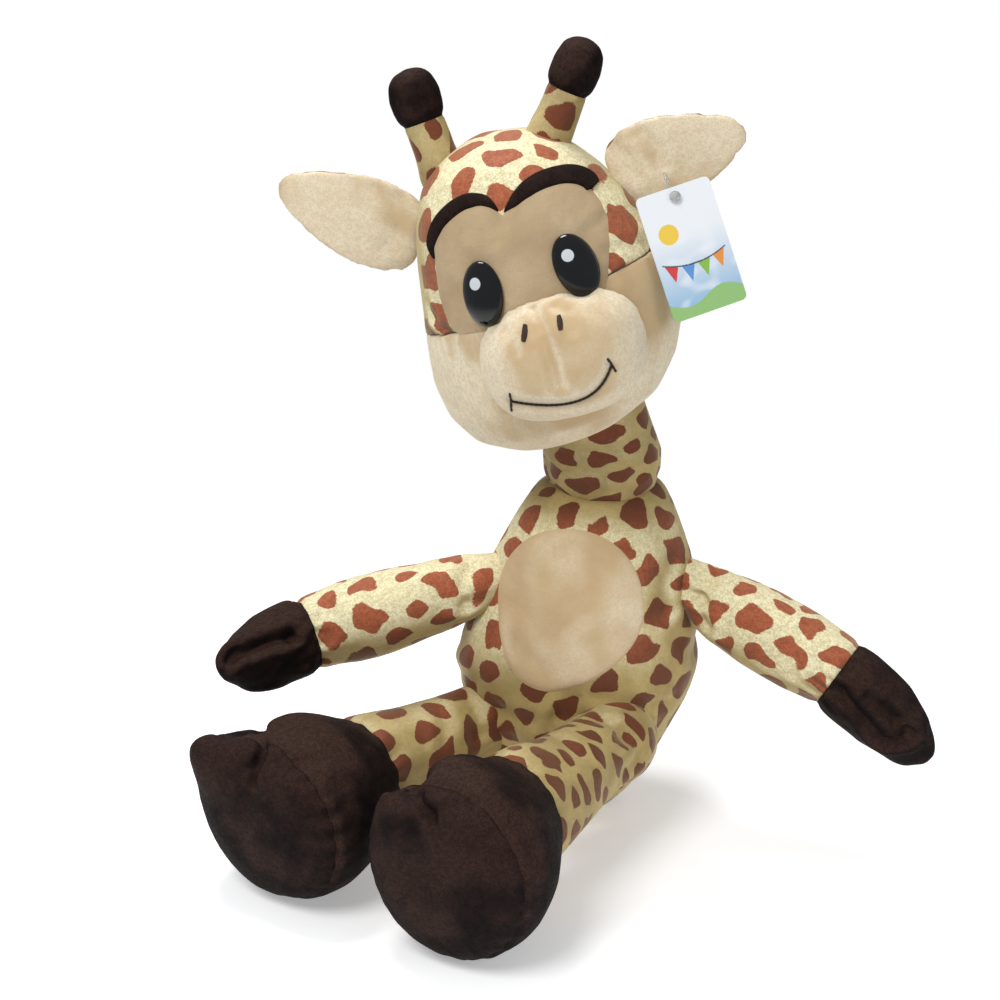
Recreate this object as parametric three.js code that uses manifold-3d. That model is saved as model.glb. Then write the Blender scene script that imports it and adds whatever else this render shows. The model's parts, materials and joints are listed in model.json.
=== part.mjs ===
// A seated plush giraffe with long floppy limbs, about 430 mm tall as it sits.
// Millimetres, +Z up. The toy faces -Y, so its own left side is at +X. The origin is the
// centre of the flat under the seat. Each stuffed volume is one solid: a skin and its filling.

import * as THREE from 'three';
import { mergeVertices } from 'three/addons/utils/BufferGeometryUtils.js';
import Module from 'manifold-3d';

const wasm = await Module();
wasm.setup();

// Clearances and allowances
const SEAM_GAP = 0.35;
const SOCKET_GAP = 0.6;
const FLOOR_CUT = 0.5;
const OVERRUN = 400;

// Facets round a form and steps along a curve
const BODY_SIDES = 24;
const LIMB_SIDES = 18;
const SMALL_SIDES = 14;
const PIN_SIDES = 8;
const PIN_STEPS = 16;
const CURVE_STEPS = 8;
const CORNER_STEPS = 4;

// Turns of the rings of a rounded end, in degrees from its widest ring to its pole
const POLE_TURN = 90;
const BALL_TURNS = [22, 44, 66, POLE_TURN];

// Main sizes
const TORSO = { high: 196, wide: 136, deep: 110, leanLeft: 21, leanBack: 4 };
const PATCH = {
  wideShare: 0.588, highShare: 0.436, thick: 2.4, lean: 8, heightShare: 0.67, sideShare: -0.175,
};
const NECK = { long: 45, baseWide: 66, topWide: 54, rise: 8, leanRight: 13, leanForward: 10.5 };
const HEAD = {
  wide: 136, deep: 120, high: 170, crownRight: 11, jawRight: 15, roll: -17.7, turn: -6,
  socketBack: 16, socketDown: 62, slopeShare: 0.025,
};
const JOWL = { top: -3, back: 14, tilt: 3 };
const MASK = {
  wideShare: 0.662, asideShare: -0.037, lowShare: -0.0353, cleftShare: 0.2647, crestShare: 0.303, thick: 2.2,
};
const BROW = { wide: 8.4, proud: 5, endShare: 0.4 };
const MUZZLE = {
  wide: 86, deep: 72, high: 68, asideShare: 0.017, forwardShare: 0.4, downShare: 0.1647, squareShare: 0.84,
};
const EYE = {
  wide: 23, high: 33.5, deep: 12, upShare: 0.072, splay: 7.5, shank: 5, shankLong: 18,
  seatShare: 0.2, shankShare: 0.25,
};
const WASHER = { wide: 18, thick: 2.2, depth: 6 };
const NOSTRIL = { long: 8, thick: 3, apart: 18, up: 19.5, proud: 1.1 };
const MOUTH = { wide: 54, sag: 10, down: 13, lift: 5, thick: 1.7, tick: 11, proud: 1.2 };
const HORN = { wide: 23, stem: 29, tip: 28, tipWide: 27, apartShare: 0.412, upShare: 0.406, back: 2 };
const EAR = {
  long: 73, wide: 48, thick: 11, apartShare: 0.8235, upShare: 0.247, back: 0,
  grooveReachShare: 0.3, grooveWideShare: 0.96,
};
const ARM = { thick: 45, wide: 46 };
const HAND = { thick: 42, wide: 44, rootShare: 0.25 };
const THUMB = { longShare: 0.38, thickShare: 0.34, wideShare: 0.22, placeShare: 0.46, dropShare: 0.24 };
const LEG = { thick: 50 };
const FOOT = { sole: 13, cleftWide: 17, cleftHigh: 46, cleftLong: 40 };
const TAIL = { long: 64, wide: 15, tuftLong: 34, tuftWide: 22, rootHeight: 26, lift: 1 };
const TAG = { wide: 40, high: 65, thick: 0.9, corner: 3, hole: 4, margin: 5, turn: 20, lean: 8 };
const PIN = {
  thick: 1.3, bar: 10, head: 6, alongShare: 0.31, acrossShare: -0.13, reach: 19, drop: 10, aside: 2.5,
};

// Places on the body, as shares of the torso: height, side and depth
const armRootShares = { right: [0.695, -0.84, -0.12], left: [0.685, 0.86, -0.14] };
const legRootShares = { right: [0.285, -0.8, -0.2], left: [0.3, 0.38, -0.88] };

// How each limb is posed, in degrees: its turn from straight ahead towards the toy's left, and its rise.
// Each soft limb is as long, and each foot as wide and high, as it is drawn out or pressed there
const ARM_POSE = {
  right: { turn: -79.3, rise: -13, long: 110, handTurn: -50, handRise: -8, handLong: 57 },
  left: { turn: 57.1, rise: -19.2, long: 100, handTurn: 80, handRise: -42, handLong: 69 },
};
const LEG_POSE = {
  right: { turn: -49, long: 92, footTurn: -41, footDeep: 80, footWide: 108, footHigh: 94 },
  left: { turn: -33, long: 103, footTurn: -33, footDeep: 76, footWide: 98, footHigh: 100 },
};
const NOSTRIL_POSE = { right: { tilt: 68 }, left: { tilt: 85 } };
const HORN_POSE = { right: { splay: 2 }, left: { splay: 40 } };
const EAR_POSE = { right: { rise: 38, longShare: 1.06 }, left: { rise: 3, longShare: 0.94 } };

// Where each eye sits across the face, as a share of the head's width
const eyeAsideShares = { right: -0.175, left: 0.15 };

// How far each root may swing either way, which its socket leaves room for
const SWING = { neck: 20, head: 20, arm: 28, leg: 20, horn: 16, ear: 24, tail: 25 };

// Profiles from one end to the other: [place along, width, depth], all shares
const torsoShares = [
  [0, 0, 0], [0, 0.3, 0.36], [0.03, 0.44, 0.6], [0.09, 0.58, 0.77], [0.17, 0.7, 0.88], [0.26, 0.82, 0.95],
  [0.35, 0.93, 1], [0.45, 1, 1], [0.56, 0.97, 0.93], [0.68, 0.9, 0.83], [0.79, 0.79, 0.72],
  [0.89, 0.65, 0.6], [0.96, 0.54, 0.52], [1, 0.44, 0.45], [1, 0, 0],
];
const headShares = [
  [0, 0, 0], [0.025, 0.44, 0.44], [0.09, 0.75, 0.72], [0.19, 0.93, 0.87], [0.31, 1.02, 0.96],
  [0.45, 1, 1], [0.58, 0.94, 1], [0.7, 0.86, 0.95], [0.81, 0.74, 0.84], [0.9, 0.58, 0.67],
  [0.96, 0.38, 0.44], [1, 0, 0],
];
const armShares = [[0, 0.7, 0.7], [0.2, 0.84, 0.85], [0.5, 0.98, 0.98], [0.78, 1, 1], [1, 0.9, 0.9]];
const handShares = [
  [0, 0.86, 0.88], [0.25, 1, 1], [0.55, 0.96, 0.92], [0.78, 0.74, 0.68], [0.91, 0.48, 0.44],
  [0.98, 0.26, 0.26], [1, 0, 0],
];
const legShares = [[0, 0.93, 0.93], [0.35, 0.95, 0.95], [0.7, 1.04, 1.04], [1, 1.2, 1.2]];
const footShares = [
  [0, 0.62, 0.61], [0.2, 0.76, 0.75], [0.42, 0.92, 0.91], [0.62, 1, 1], [0.82, 0.97, 0.97],
  [0.94, 0.8, 0.82], [1, 0.52, 0.54], [1.02, 0, 0],
];
const hornShares = [[0, 1.1, 1.1], [0.25, 0.97, 0.97], [0.53, 0.98, 0.98]];
const hornTipShares = [
  [0.5, 0.86, 0.86], [0.6, 0.98, 0.98], [0.76, 1, 1], [0.9, 0.86, 0.86], [0.97, 0.56, 0.56], [1, 0, 0],
];
const earShares = [
  [-0.076, 0, 0], [-0.054, 0.56, 0.5], [0, 0.78, 0.82], [0.12, 0.92, 1], [0.28, 1, 0.95], [0.45, 0.95, 0.86],
  [0.62, 0.81, 0.76], [0.78, 0.62, 0.64], [0.9, 0.43, 0.5], [0.97, 0.25, 0.34], [1, 0, 0],
];
const tailShares = [[0, 1, 1], [0.4, 0.86, 0.86], [1, 0.8, 0.8]];
const tuftShares = [[0, 0.5, 0.5], [0.2, 0.86, 0.86], [0.5, 1, 1], [0.8, 0.66, 0.66], [1, 0, 0]];

// The face panel: where its foot and side turn, and the ends and pulls of the curve over each half
const maskShares = { foot: 0.85, side: 0.12 };
const crestShares = { corner: [0.97, 0.85], outer: [0.9, 1.16], inner: [0.32, 1.19] };

// Places and reaches that follow the head they are sewn to
const PANEL = {
  wide: HEAD.wide * MASK.wideShare,
  aside: HEAD.wide * MASK.asideShare,
  low: HEAD.high * MASK.lowShare,
  cleft: HEAD.high * MASK.cleftShare,
  crest: HEAD.high * MASK.crestShare,
};
const MUZZLE_AT = {
  aside: HEAD.wide * MUZZLE.asideShare,
  forward: HEAD.deep * MUZZLE.forwardShare,
  down: HEAD.high * MUZZLE.downShare,
};

const RIGHT = -1;
const LEFT = 1;
const SIDES = { right: RIGHT, left: LEFT };
const UP = new THREE.Vector3(0, 0, 1);
const ALONG_X = new THREE.Vector3(1, 0, 0);
const ALONG_Y = new THREE.Vector3(0, 1, 0);
const AHEAD = new THREE.Vector3(0, -1, 0);

const COLOURS = {
  spotted: [0xc9b183, 0.72], beige: [0xd9b98a, 0.7], brown: [0x2e1a14, 0.85], eye: [0x0a0a0a, 0.12],
  washer: [0xe6e6e0, 0.5], thread: [0x17100e, 0.8], card: [0xf2f5f7, 0.6], pin: [0xe4e8ea, 0.3],
};

const giraffe = new THREE.Group();
const head = new THREE.Group();
giraffe.add(head);

// Solids and how they are joined and cut

// A closed solid from a geometry: shared corners merged, slivers at the poles left out
function solid(geometry) {
  const bare = geometry.clone();
  bare.deleteAttribute('normal');
  bare.deleteAttribute('uv');
  const merged = mergeVertices(bare);
  const index = merged.index.array;
  const corners = [];
  for (let i = 0; i < index.length; i += 3) {
    const [a, b, c] = [index[i], index[i + 1], index[i + 2]];
    if (a !== b && b !== c && c !== a) corners.push(a, b, c);
  }
  const mesh = new wasm.Mesh({
    numProp: 3,
    vertProperties: new Float32Array(merged.attributes.position.array),
    triVerts: new Uint32Array(corners),
  });
  return new wasm.Manifold(mesh);
}

// Adds a solid to a group as a named mesh with its own material
function addPiece(group, name, shape, colour) {
  const mesh = shape.getMesh();
  const geometry = new THREE.BufferGeometry();
  geometry.setAttribute('position', new THREE.BufferAttribute(new Float32Array(mesh.vertProperties), 3));
  geometry.setIndex(new THREE.BufferAttribute(new Uint32Array(mesh.triVerts), 1));
  geometry.computeVertexNormals();
  const [tint, roughness] = COLOURS[colour];
  const material = new THREE.MeshStandardMaterial({ color: tint, roughness, metalness: 0 });
  const piece = new THREE.Mesh(geometry, material);
  piece.name = name;
  group.add(piece);
}

// A stuffed form: rings of a rounded section, closed by a point at each end.
// Each ring has a centre, two unit directions and two half sizes
function paddedForm(rings, sides) {
  const corners = [];
  const faces = [];
  for (const ring of rings) {
    for (let side = 0; side < sides; side += 1) {
      const angle = (side / sides) * 2 * Math.PI;
      const corner = ring.centre.clone()
        .addScaledVector(ring.across, ring.wide * Math.cos(angle))
        .addScaledVector(ring.up, ring.high * Math.sin(angle));
      corners.push(corner.x, corner.y, corner.z);
    }
  }
  for (let row = 0; row + 1 < rings.length; row += 1) {
    for (let side = 0; side < sides; side += 1) {
      const next = (side + 1) % sides;
      const [a, b] = [row * sides + side, row * sides + next];
      const [c, d] = [b + sides, a + sides];
      faces.push(a, b, c, a, c, d);
    }
  }
  const geometry = new THREE.BufferGeometry();
  geometry.setAttribute('position', new THREE.Float32BufferAttribute(corners, 3));
  geometry.setIndex(faces);
  return geometry;
}

// The rings of a form along a line: each row of shares sets a place, a width and a height.
// A rounded root or end, where asked for, is a half ball about the line's end
function ringsAlong(line, shares, sizes, acrossHint, options = {}) {
  const { grow = 0, rootBall = false, endBall = false } = options;
  const ring = (along, tangent, wide, high) => {
    const across = acrossHint.clone().addScaledVector(tangent, -acrossHint.dot(tangent)).normalize();
    return { centre: along, across, up: tangent.clone().cross(across), wide, high };
  };
  const rings = [];
  for (const [place, wideShare, highShare] of shares) {
    const inside = THREE.MathUtils.clamp(place, 0, 1);
    const tangent = line.getTangentAt(inside);
    const centre = line.getPointAt(inside).addScaledVector(tangent, (place - inside) * line.getLength());
    const closed = wideShare === 0;
    const reach = closed ? 0 : grow;
    if (closed) centre.addScaledVector(tangent, place > 0 ? grow : -grow);
    rings.push(ring(centre, tangent, wideShare * sizes.wide / 2 + reach, highShare * sizes.high / 2 + reach));
  }
  const halfBall = (from, sign) => {
    const ball = [];
    for (const turn of BALL_TURNS) {
      const angle = THREE.MathUtils.degToRad(turn);
      const tangent = line.getTangentAt(sign < 0 ? 0 : 1);
      const centre = line.getPointAt(sign < 0 ? 0 : 1);
      centre.addScaledVector(tangent, sign * from.wide * Math.sin(angle));
      const share = turn === POLE_TURN ? 0 : Math.cos(angle);
      ball.push(ring(centre, tangent, from.wide * share, from.high * share));
    }
    return ball;
  };
  if (rootBall) rings.unshift(...halfBall(rings[0], -1).reverse());
  if (endBall) rings.push(...halfBall(rings[rings.length - 1], 1));
  return rings;
}

// The same rings with a flat end where they stop open: the first, the last or both
function flatEnded(rings) {
  const closed = [...rings];
  if (rings[0].wide > 0) closed.unshift({ ...rings[0], wide: 0, high: 0 });
  const last = rings[rings.length - 1];
  if (last.wide > 0) closed.push({ ...last, wide: 0, high: 0 });
  return closed;
}

// Half the section of a seat: an arc round the pivot, then a mouth that flares as far as the root swings.
// Its flats stand outside the true arc, so that a ball of the radius turns freely in it
function seatProfile(radius, flare, reach) {
  const tilt = THREE.MathUtils.degToRad(flare);
  const outer = radius / Math.cos(THREE.MathUtils.degToRad(BALL_TURNS[0] / 2));
  const points = [];
  for (let turn = -POLE_TURN; turn < -flare; turn += BALL_TURNS[0]) {
    const angle = THREE.MathUtils.degToRad(turn);
    const out = turn === -POLE_TURN ? 0 : outer * Math.cos(angle);
    points.push(new THREE.Vector2(out, outer * Math.sin(angle)));
  }
  points.push(new THREE.Vector2(outer * Math.cos(tilt), -outer * Math.sin(tilt)));
  points.push(new THREE.Vector2(outer / Math.cos(tilt) + reach * Math.tan(tilt), reach));
  points.push(new THREE.Vector2(0, reach));
  return points;
}

// A ball seat with a flared mouth, to be cut out of what a rounded root sits in
function seatCutter(pivot, direction, radius, flare, reach) {
  const cutter = new THREE.LatheGeometry(seatProfile(radius, flare, reach), LIMB_SIDES);
  cutter.applyQuaternion(new THREE.Quaternion().setFromUnitVectors(ALONG_Y, direction));
  return solid(cutter.translate(pivot.x, pivot.y, pivot.z));
}

// Everything on the far side of a plane, as a block to cut with
function halfSpace(point, normal) {
  const block = new THREE.BoxGeometry(OVERRUN, OVERRUN, OVERRUN).translate(0, 0, OVERRUN / 2);
  block.applyQuaternion(new THREE.Quaternion().setFromUnitVectors(UP, normal));
  return solid(block.translate(point.x, point.y, point.z));
}

// A flat outline in the X-Z plane, pushed through towards -Y
function frontPrism(outline, depth) {
  const flat = { depth, bevelEnabled: false, curveSegments: CURVE_STEPS };
  const prism = new THREE.ExtrudeGeometry(outline, flat);
  return solid(prism.rotateX(Math.PI / 2));
}

// A strip of a given width along a flat curve, narrowing to its ends
function stripOutline(curve, width, endShare, count) {
  const points = curve.getSpacedPoints(count);
  const left = [];
  const right = [];
  points.forEach((point, i) => {
    const tangent = curve.getTangentAt(i / count);
    const taper = endShare + (1 - endShare) * Math.sin((i / count) * Math.PI);
    const half = (width / 2) * taper;
    left.push(new THREE.Vector2(point.x - tangent.y * half, point.y + tangent.x * half));
    right.unshift(new THREE.Vector2(point.x + tangent.y * half, point.y - tangent.x * half));
  });
  return new THREE.Shape([...left, ...right]);
}

// A direction from its turn towards the toy's left and its rise, in degrees, from straight ahead
function heading(turn, rise) {
  const [yaw, pitch] = [THREE.MathUtils.degToRad(turn), THREE.MathUtils.degToRad(rise)];
  const level = Math.cos(pitch);
  return new THREE.Vector3(Math.sin(yaw) * level, -Math.cos(yaw) * level, Math.sin(pitch));
}

// Torso

const spineFoot = new THREE.Vector3(0, 0, -FLOOR_CUT);
const spineTop = new THREE.Vector3(TORSO.leanLeft, TORSO.leanBack, TORSO.high - FLOOR_CUT);

function torsoRings(grow) {
  return torsoShares.map(([place, wide, deep]) => ({
    centre: spineFoot.clone().lerp(spineTop, place).addScaledVector(UP, place > 0 && wide === 0 ? grow : 0),
    across: ALONG_X,
    up: ALONG_Y,
    wide: wide === 0 ? 0 : wide * TORSO.wide / 2 + grow,
    high: deep === 0 ? 0 : deep * TORSO.deep / 2 + grow,
  }));
}

// Half width and half depth of the torso at a share of its height
function sizesAt(shares, place) {
  const above = shares.findIndex((row) => row[0] >= place && row[1] > 0);
  const [low, high] = [shares[Math.max(above - 1, 1)], shares[above]];
  const mix = high[0] === low[0] ? 0 : (place - low[0]) / (high[0] - low[0]);
  return [THREE.MathUtils.lerp(low[1], high[1], mix), THREE.MathUtils.lerp(low[2], high[2], mix)];
}

// A point of the torso from shares of its height, half width and half depth
function torsoPoint([place, side, depth]) {
  const [wide, deep] = sizesAt(torsoShares, place);
  const point = spineFoot.clone().lerp(spineTop, place);
  return point.add(new THREE.Vector3(side * wide * TORSO.wide / 2, depth * deep * TORSO.deep / 2, 0));
}

const floor = halfSpace(new THREE.Vector3(), UP.clone().negate());

// Limbs

function armLine(side) {
  const pose = ARM_POSE[side];
  const root = torsoPoint(armRootShares[side]);
  const wrist = root.clone().addScaledVector(heading(pose.turn, pose.rise), pose.long);
  const tip = wrist.clone().addScaledVector(heading(pose.handTurn, pose.handRise), pose.handLong);
  return { root, wrist, tip, direction: heading(pose.turn, pose.rise) };
}

function legLine(side) {
  const pose = LEG_POSE[side];
  const root = torsoPoint(legRootShares[side]);
  const drop = Math.asin((root.z - pose.footHigh / 2 + FLOOR_CUT) / (pose.long + pose.footDeep));
  const direction = heading(pose.turn, -THREE.MathUtils.radToDeg(drop));
  const footWay = heading(pose.footTurn, -THREE.MathUtils.radToDeg(drop));
  const ankle = root.clone().addScaledVector(direction, pose.long);
  const sole = ankle.clone().addScaledVector(footWay, pose.footDeep);
  return { root, ankle, sole, direction, footWay };
}

function buildArm(side) {
  const { root, wrist, tip, direction } = armLine(side);
  const handLong = ARM_POSE[side].handLong;
  const upper = new THREE.LineCurve3(root, wrist);
  const armSizes = { wide: ARM.wide, high: ARM.thick };
  const options = { rootBall: true, endBall: true };
  const sleeve = solid(paddedForm(ringsAlong(upper, armShares, armSizes, UP, options), LIMB_SIDES));
  const handWay = tip.clone().sub(wrist).normalize();
  const cuff = direction.clone().add(handWay).normalize();
  const arm = sleeve.subtract(halfSpace(wrist, cuff));
  addPiece(giraffe, `arm_${side}`, arm, 'spotted');

  const hoofRoot = wrist.clone().addScaledVector(handWay, -HAND.thick * HAND.rootShare);
  const hoofLine = new THREE.LineCurve3(hoofRoot, tip);
  const hoofSizes = { wide: HAND.wide, high: HAND.thick };
  const hoofRings = ringsAlong(hoofLine, handShares, hoofSizes, UP, { rootBall: true });
  const main = solid(paddedForm(hoofRings, LIMB_SIDES));
  const thumb = new THREE.SphereGeometry(1, SMALL_SIDES, SMALL_SIDES);
  thumb.scale(handLong * THUMB.longShare, HAND.thick * THUMB.thickShare, HAND.wide * THUMB.wideShare);
  thumb.applyQuaternion(new THREE.Quaternion().setFromUnitVectors(ALONG_X, handWay));
  const thumbAt = wrist.clone().addScaledVector(handWay, handLong * THUMB.placeShare);
  thumbAt.addScaledVector(UP, -HAND.wide * THUMB.dropShare);
  const hoof = main.add(solid(thumb.translate(thumbAt.x, thumbAt.y, thumbAt.z)));
  const cuffFace = wrist.clone().addScaledVector(cuff, SEAM_GAP);
  addPiece(giraffe, `hand_${side}`, hoof.subtract(halfSpace(cuffFace, cuff.clone().negate())), 'brown');
}

function buildLeg(side) {
  const { root, ankle, sole, direction, footWay } = legLine(side);
  const across = direction.clone().cross(UP);
  const footAcross = footWay.clone().cross(UP);
  const { footWide, footHigh } = LEG_POSE[side];
  const legSizes = { wide: LEG.thick, high: LEG.thick };
  const thigh = new THREE.LineCurve3(root, ankle);
  const legRings = ringsAlong(thigh, legShares, legSizes, across, { rootBall: true, endBall: true });
  const stuffed = solid(paddedForm(legRings, LIMB_SIDES)).subtract(halfSpace(ankle, footWay));
  addPiece(giraffe, `leg_${side}`, stuffed.subtract(floor), 'spotted');

  const footLine = new THREE.LineCurve3(ankle.clone().addScaledVector(footWay, SEAM_GAP), sole);
  const footSizes = { wide: footWide, high: footHigh };
  const rings = flatEnded(ringsAlong(footLine, footShares, footSizes, footAcross));
  const cleft = new THREE.SphereGeometry(1, SMALL_SIDES, SMALL_SIDES);
  cleft.scale(FOOT.cleftWide / 2, FOOT.cleftLong, FOOT.cleftHigh / 2);
  cleft.rotateZ(Math.atan2(footAcross.y, footAcross.x));
  const cleftAt = sole.clone().addScaledVector(UP, footHigh / 2);
  const whole = solid(paddedForm(rings, BODY_SIDES)).subtract(floor)
    .subtract(solid(cleft.translate(cleftAt.x, cleftAt.y, cleftAt.z)));
  const seam = sole.clone().addScaledVector(footWay, -FOOT.sole);
  const seamBack = seam.clone().addScaledVector(footWay, -SEAM_GAP);
  addPiece(giraffe, `foot_${side}`, whole.subtract(halfSpace(seamBack, footWay)), 'brown');
  addPiece(giraffe, `sole_${side}`, whole.subtract(halfSpace(seam, footWay.clone().negate())), 'brown');
}

// Neck and the head's own frame

const neckBase = spineTop.clone().addScaledVector(UP, NECK.rise);
const neckWay = new THREE.Vector3(
  -Math.sin(THREE.MathUtils.degToRad(NECK.leanRight)),
  -Math.sin(THREE.MathUtils.degToRad(NECK.leanForward)),
  1,
).normalize();
const neckTop = neckBase.clone().addScaledVector(neckWay, NECK.long);

const headSocket = new THREE.Vector3(0, HEAD.socketBack, -HEAD.socketDown);
head.rotation.set(0, THREE.MathUtils.degToRad(HEAD.roll), THREE.MathUtils.degToRad(HEAD.turn), 'ZYX');
head.position.copy(neckTop).sub(headSocket.clone().applyEuler(head.rotation));
head.updateMatrix();
const intoHead = head.matrix.clone().invert();

function buildNeck() {
  const taper = NECK.topWide / NECK.baseWide;
  const neckShares = [[0, 1, 1], [0.5, (1 + taper) / 2, (1 + taper) / 2], [1, taper, taper]];
  const line = new THREE.LineCurve3(neckBase, neckTop);
  const sizes = { wide: NECK.baseWide, high: NECK.baseWide };
  const rings = ringsAlong(line, neckShares, sizes, ALONG_X, { rootBall: true, endBall: true });
  addPiece(giraffe, 'neck', solid(paddedForm(rings, BODY_SIDES)), 'spotted');
}

// The head and what is sewn to it, in the head's own frame: -Y is ahead

// The crown and the jaw are pressed towards the toy's right, more so the further from the middle
function pressedAside(place) {
  return place > 0.5 ? -HEAD.crownRight * (2 * place - 1) : -HEAD.jawRight * (1 - 2 * place);
}

function headForm(grow) {
  const rings = headShares.map(([place, wide, deep]) => {
    const pole = wide === 0;
    const level = (place - 0.5) * HEAD.high + (pole ? Math.sign(place - 0.5) * grow : 0);
    return {
      centre: new THREE.Vector3(pressedAside(place), 0, level),
      across: ALONG_X,
      up: ALONG_Y,
      wide: pole ? 0 : wide * HEAD.wide / 2 + grow,
      high: pole ? 0 : deep * HEAD.deep / 2 + grow,
    };
  });
  return solid(paddedForm(rings, BODY_SIDES));
}

// The front of the head at a place across and up: how far ahead it is, and the way it faces
function faceFront(x, z) {
  const ahead = (across, up) => {
    const place = up / HEAD.high + 0.5;
    const [wide, deep] = sizesAt(headShares, place);
    const share = Math.min(Math.abs(across - pressedAside(place)) / (wide * HEAD.wide / 2), 1);
    return -deep * (HEAD.deep / 2) * Math.sqrt(1 - share * share);
  };
  const step = HEAD.high * HEAD.slopeShare;
  const slopeX = (ahead(x + step, z) - ahead(x - step, z)) / (2 * step);
  const slopeZ = (ahead(x, z + step) - ahead(x, z - step)) / (2 * step);
  const facing = new THREE.Vector3(slopeX, -1, slopeZ).normalize();
  return { point: new THREE.Vector3(x, ahead(x, z), z), facing };
}

// The curve over one half of the face panel, from its outer corner up and in to the cleft
function crestCurve(sign) {
  const half = sign * PANEL.wide / 2;
  const { corner, outer, inner } = crestShares;
  return new THREE.CubicBezierCurve(
    new THREE.Vector2(PANEL.aside + half * corner[0], PANEL.cleft * corner[1]),
    new THREE.Vector2(PANEL.aside + half * outer[0], PANEL.crest * outer[1]),
    new THREE.Vector2(PANEL.aside + half * inner[0], PANEL.crest * inner[1]),
    new THREE.Vector2(PANEL.aside, PANEL.cleft),
  );
}

function maskOutline() {
  const half = PANEL.wide / 2;
  const [leftEdge, rightEdge] = [PANEL.aside + half, PANEL.aside - half];
  const [leftTurn, rightTurn] = [PANEL.aside + half * maskShares.foot, PANEL.aside - half * maskShares.foot];
  const side = PANEL.cleft * maskShares.side;
  const shape = new THREE.Shape();
  const right = crestCurve(RIGHT);
  const left = crestCurve(LEFT);
  shape.moveTo(PANEL.aside, PANEL.low);
  shape.bezierCurveTo(leftTurn, PANEL.low, leftEdge, PANEL.low, leftEdge, side);
  shape.lineTo(left.v0.x, left.v0.y);
  shape.bezierCurveTo(left.v1.x, left.v1.y, left.v2.x, left.v2.y, left.v3.x, left.v3.y);
  shape.bezierCurveTo(right.v2.x, right.v2.y, right.v1.x, right.v1.y, right.v0.x, right.v0.y);
  shape.lineTo(rightEdge, side);
  shape.bezierCurveTo(rightEdge, PANEL.low, rightTurn, PANEL.low, PANEL.aside, PANEL.low);
  return shape;
}

// A ball with its corners drawn out across and up, the more so the lower its square share
function muzzleForm(grow) {
  const form = new THREE.SphereGeometry(1, BODY_SIDES, SMALL_SIDES);
  const spots = form.attributes.position;
  for (let i = 0; i < spots.count; i += 1) {
    const [x, z] = [spots.getX(i), spots.getZ(i)];
    spots.setX(i, Math.sign(x) * Math.abs(x) ** MUZZLE.squareShare);
    spots.setZ(i, Math.sign(z) * Math.abs(z) ** MUZZLE.squareShare);
  }
  form.scale(MUZZLE.wide / 2 + grow, MUZZLE.deep / 2 + grow, MUZZLE.high / 2 + grow);
  return solid(form.translate(MUZZLE_AT.aside, -MUZZLE_AT.forward, -MUZZLE_AT.down));
}

// A flat-ended round bar from a point along a direction
function bar(from, direction, radius, length, sides) {
  const rod = new THREE.CylinderGeometry(radius, radius, length, sides).translate(0, length / 2, 0);
  rod.applyQuaternion(new THREE.Quaternion().setFromUnitVectors(ALONG_Y, direction));
  return solid(rod.translate(from.x, from.y, from.z));
}

function eyeParts(side) {
  const sign = SIDES[side];
  const { point, facing } = faceFront(HEAD.wide * eyeAsideShares[side], HEAD.high * EYE.upShare);
  const inward = facing.clone().negate();
  const seat = point.clone().addScaledVector(facing, MASK.thick + EYE.deep * EYE.seatShare);
  const lens = (grow) => {
    const form = new THREE.SphereGeometry(1, LIMB_SIDES, SMALL_SIDES);
    form.scale(EYE.wide / 2 + grow, EYE.deep / 2 + grow, EYE.high / 2 + grow);
    form.rotateY(THREE.MathUtils.degToRad(-sign * EYE.splay));
    form.applyQuaternion(new THREE.Quaternion().setFromUnitVectors(AHEAD, facing));
    return solid(form.translate(seat.x, seat.y, seat.z));
  };
  const dome = lens(0).subtract(headForm(MASK.thick + SEAM_GAP));
  const shankFrom = point.clone().addScaledVector(facing, MASK.thick + EYE.deep * EYE.shankShare);
  const shank = bar(shankFrom, inward, EYE.shank / 2, EYE.shankLong, SMALL_SIDES);
  const hole = bar(shankFrom, inward, EYE.shank / 2 + SEAM_GAP, EYE.shankLong + SEAM_GAP, SMALL_SIDES);
  const washerAt = point.clone().addScaledVector(inward, WASHER.depth);
  const ring = bar(washerAt, inward, WASHER.wide / 2, WASHER.thick, LIMB_SIDES).subtract(hole);
  const pocketAt = washerAt.clone().addScaledVector(facing, SEAM_GAP);
  const pocket = bar(pocketAt, inward, WASHER.wide / 2 + SEAM_GAP, WASHER.thick + 2 * SEAM_GAP, LIMB_SIDES);
  return { eye: dome.add(shank), hole, washer: ring, pocket, room: lens(SEAM_GAP) };
}

function hornFrame(side) {
  const sign = SIDES[side];
  const splay = THREE.MathUtils.degToRad(HORN_POSE[side].splay);
  const across = pressedAside(HORN.upShare + 0.5) + sign * HEAD.wide * HORN.apartShare / 2;
  const root = new THREE.Vector3(across, HORN.back, HEAD.high * HORN.upShare);
  return { root, way: new THREE.Vector3(sign * Math.sin(splay), 0, Math.cos(splay)) };
}

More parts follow.
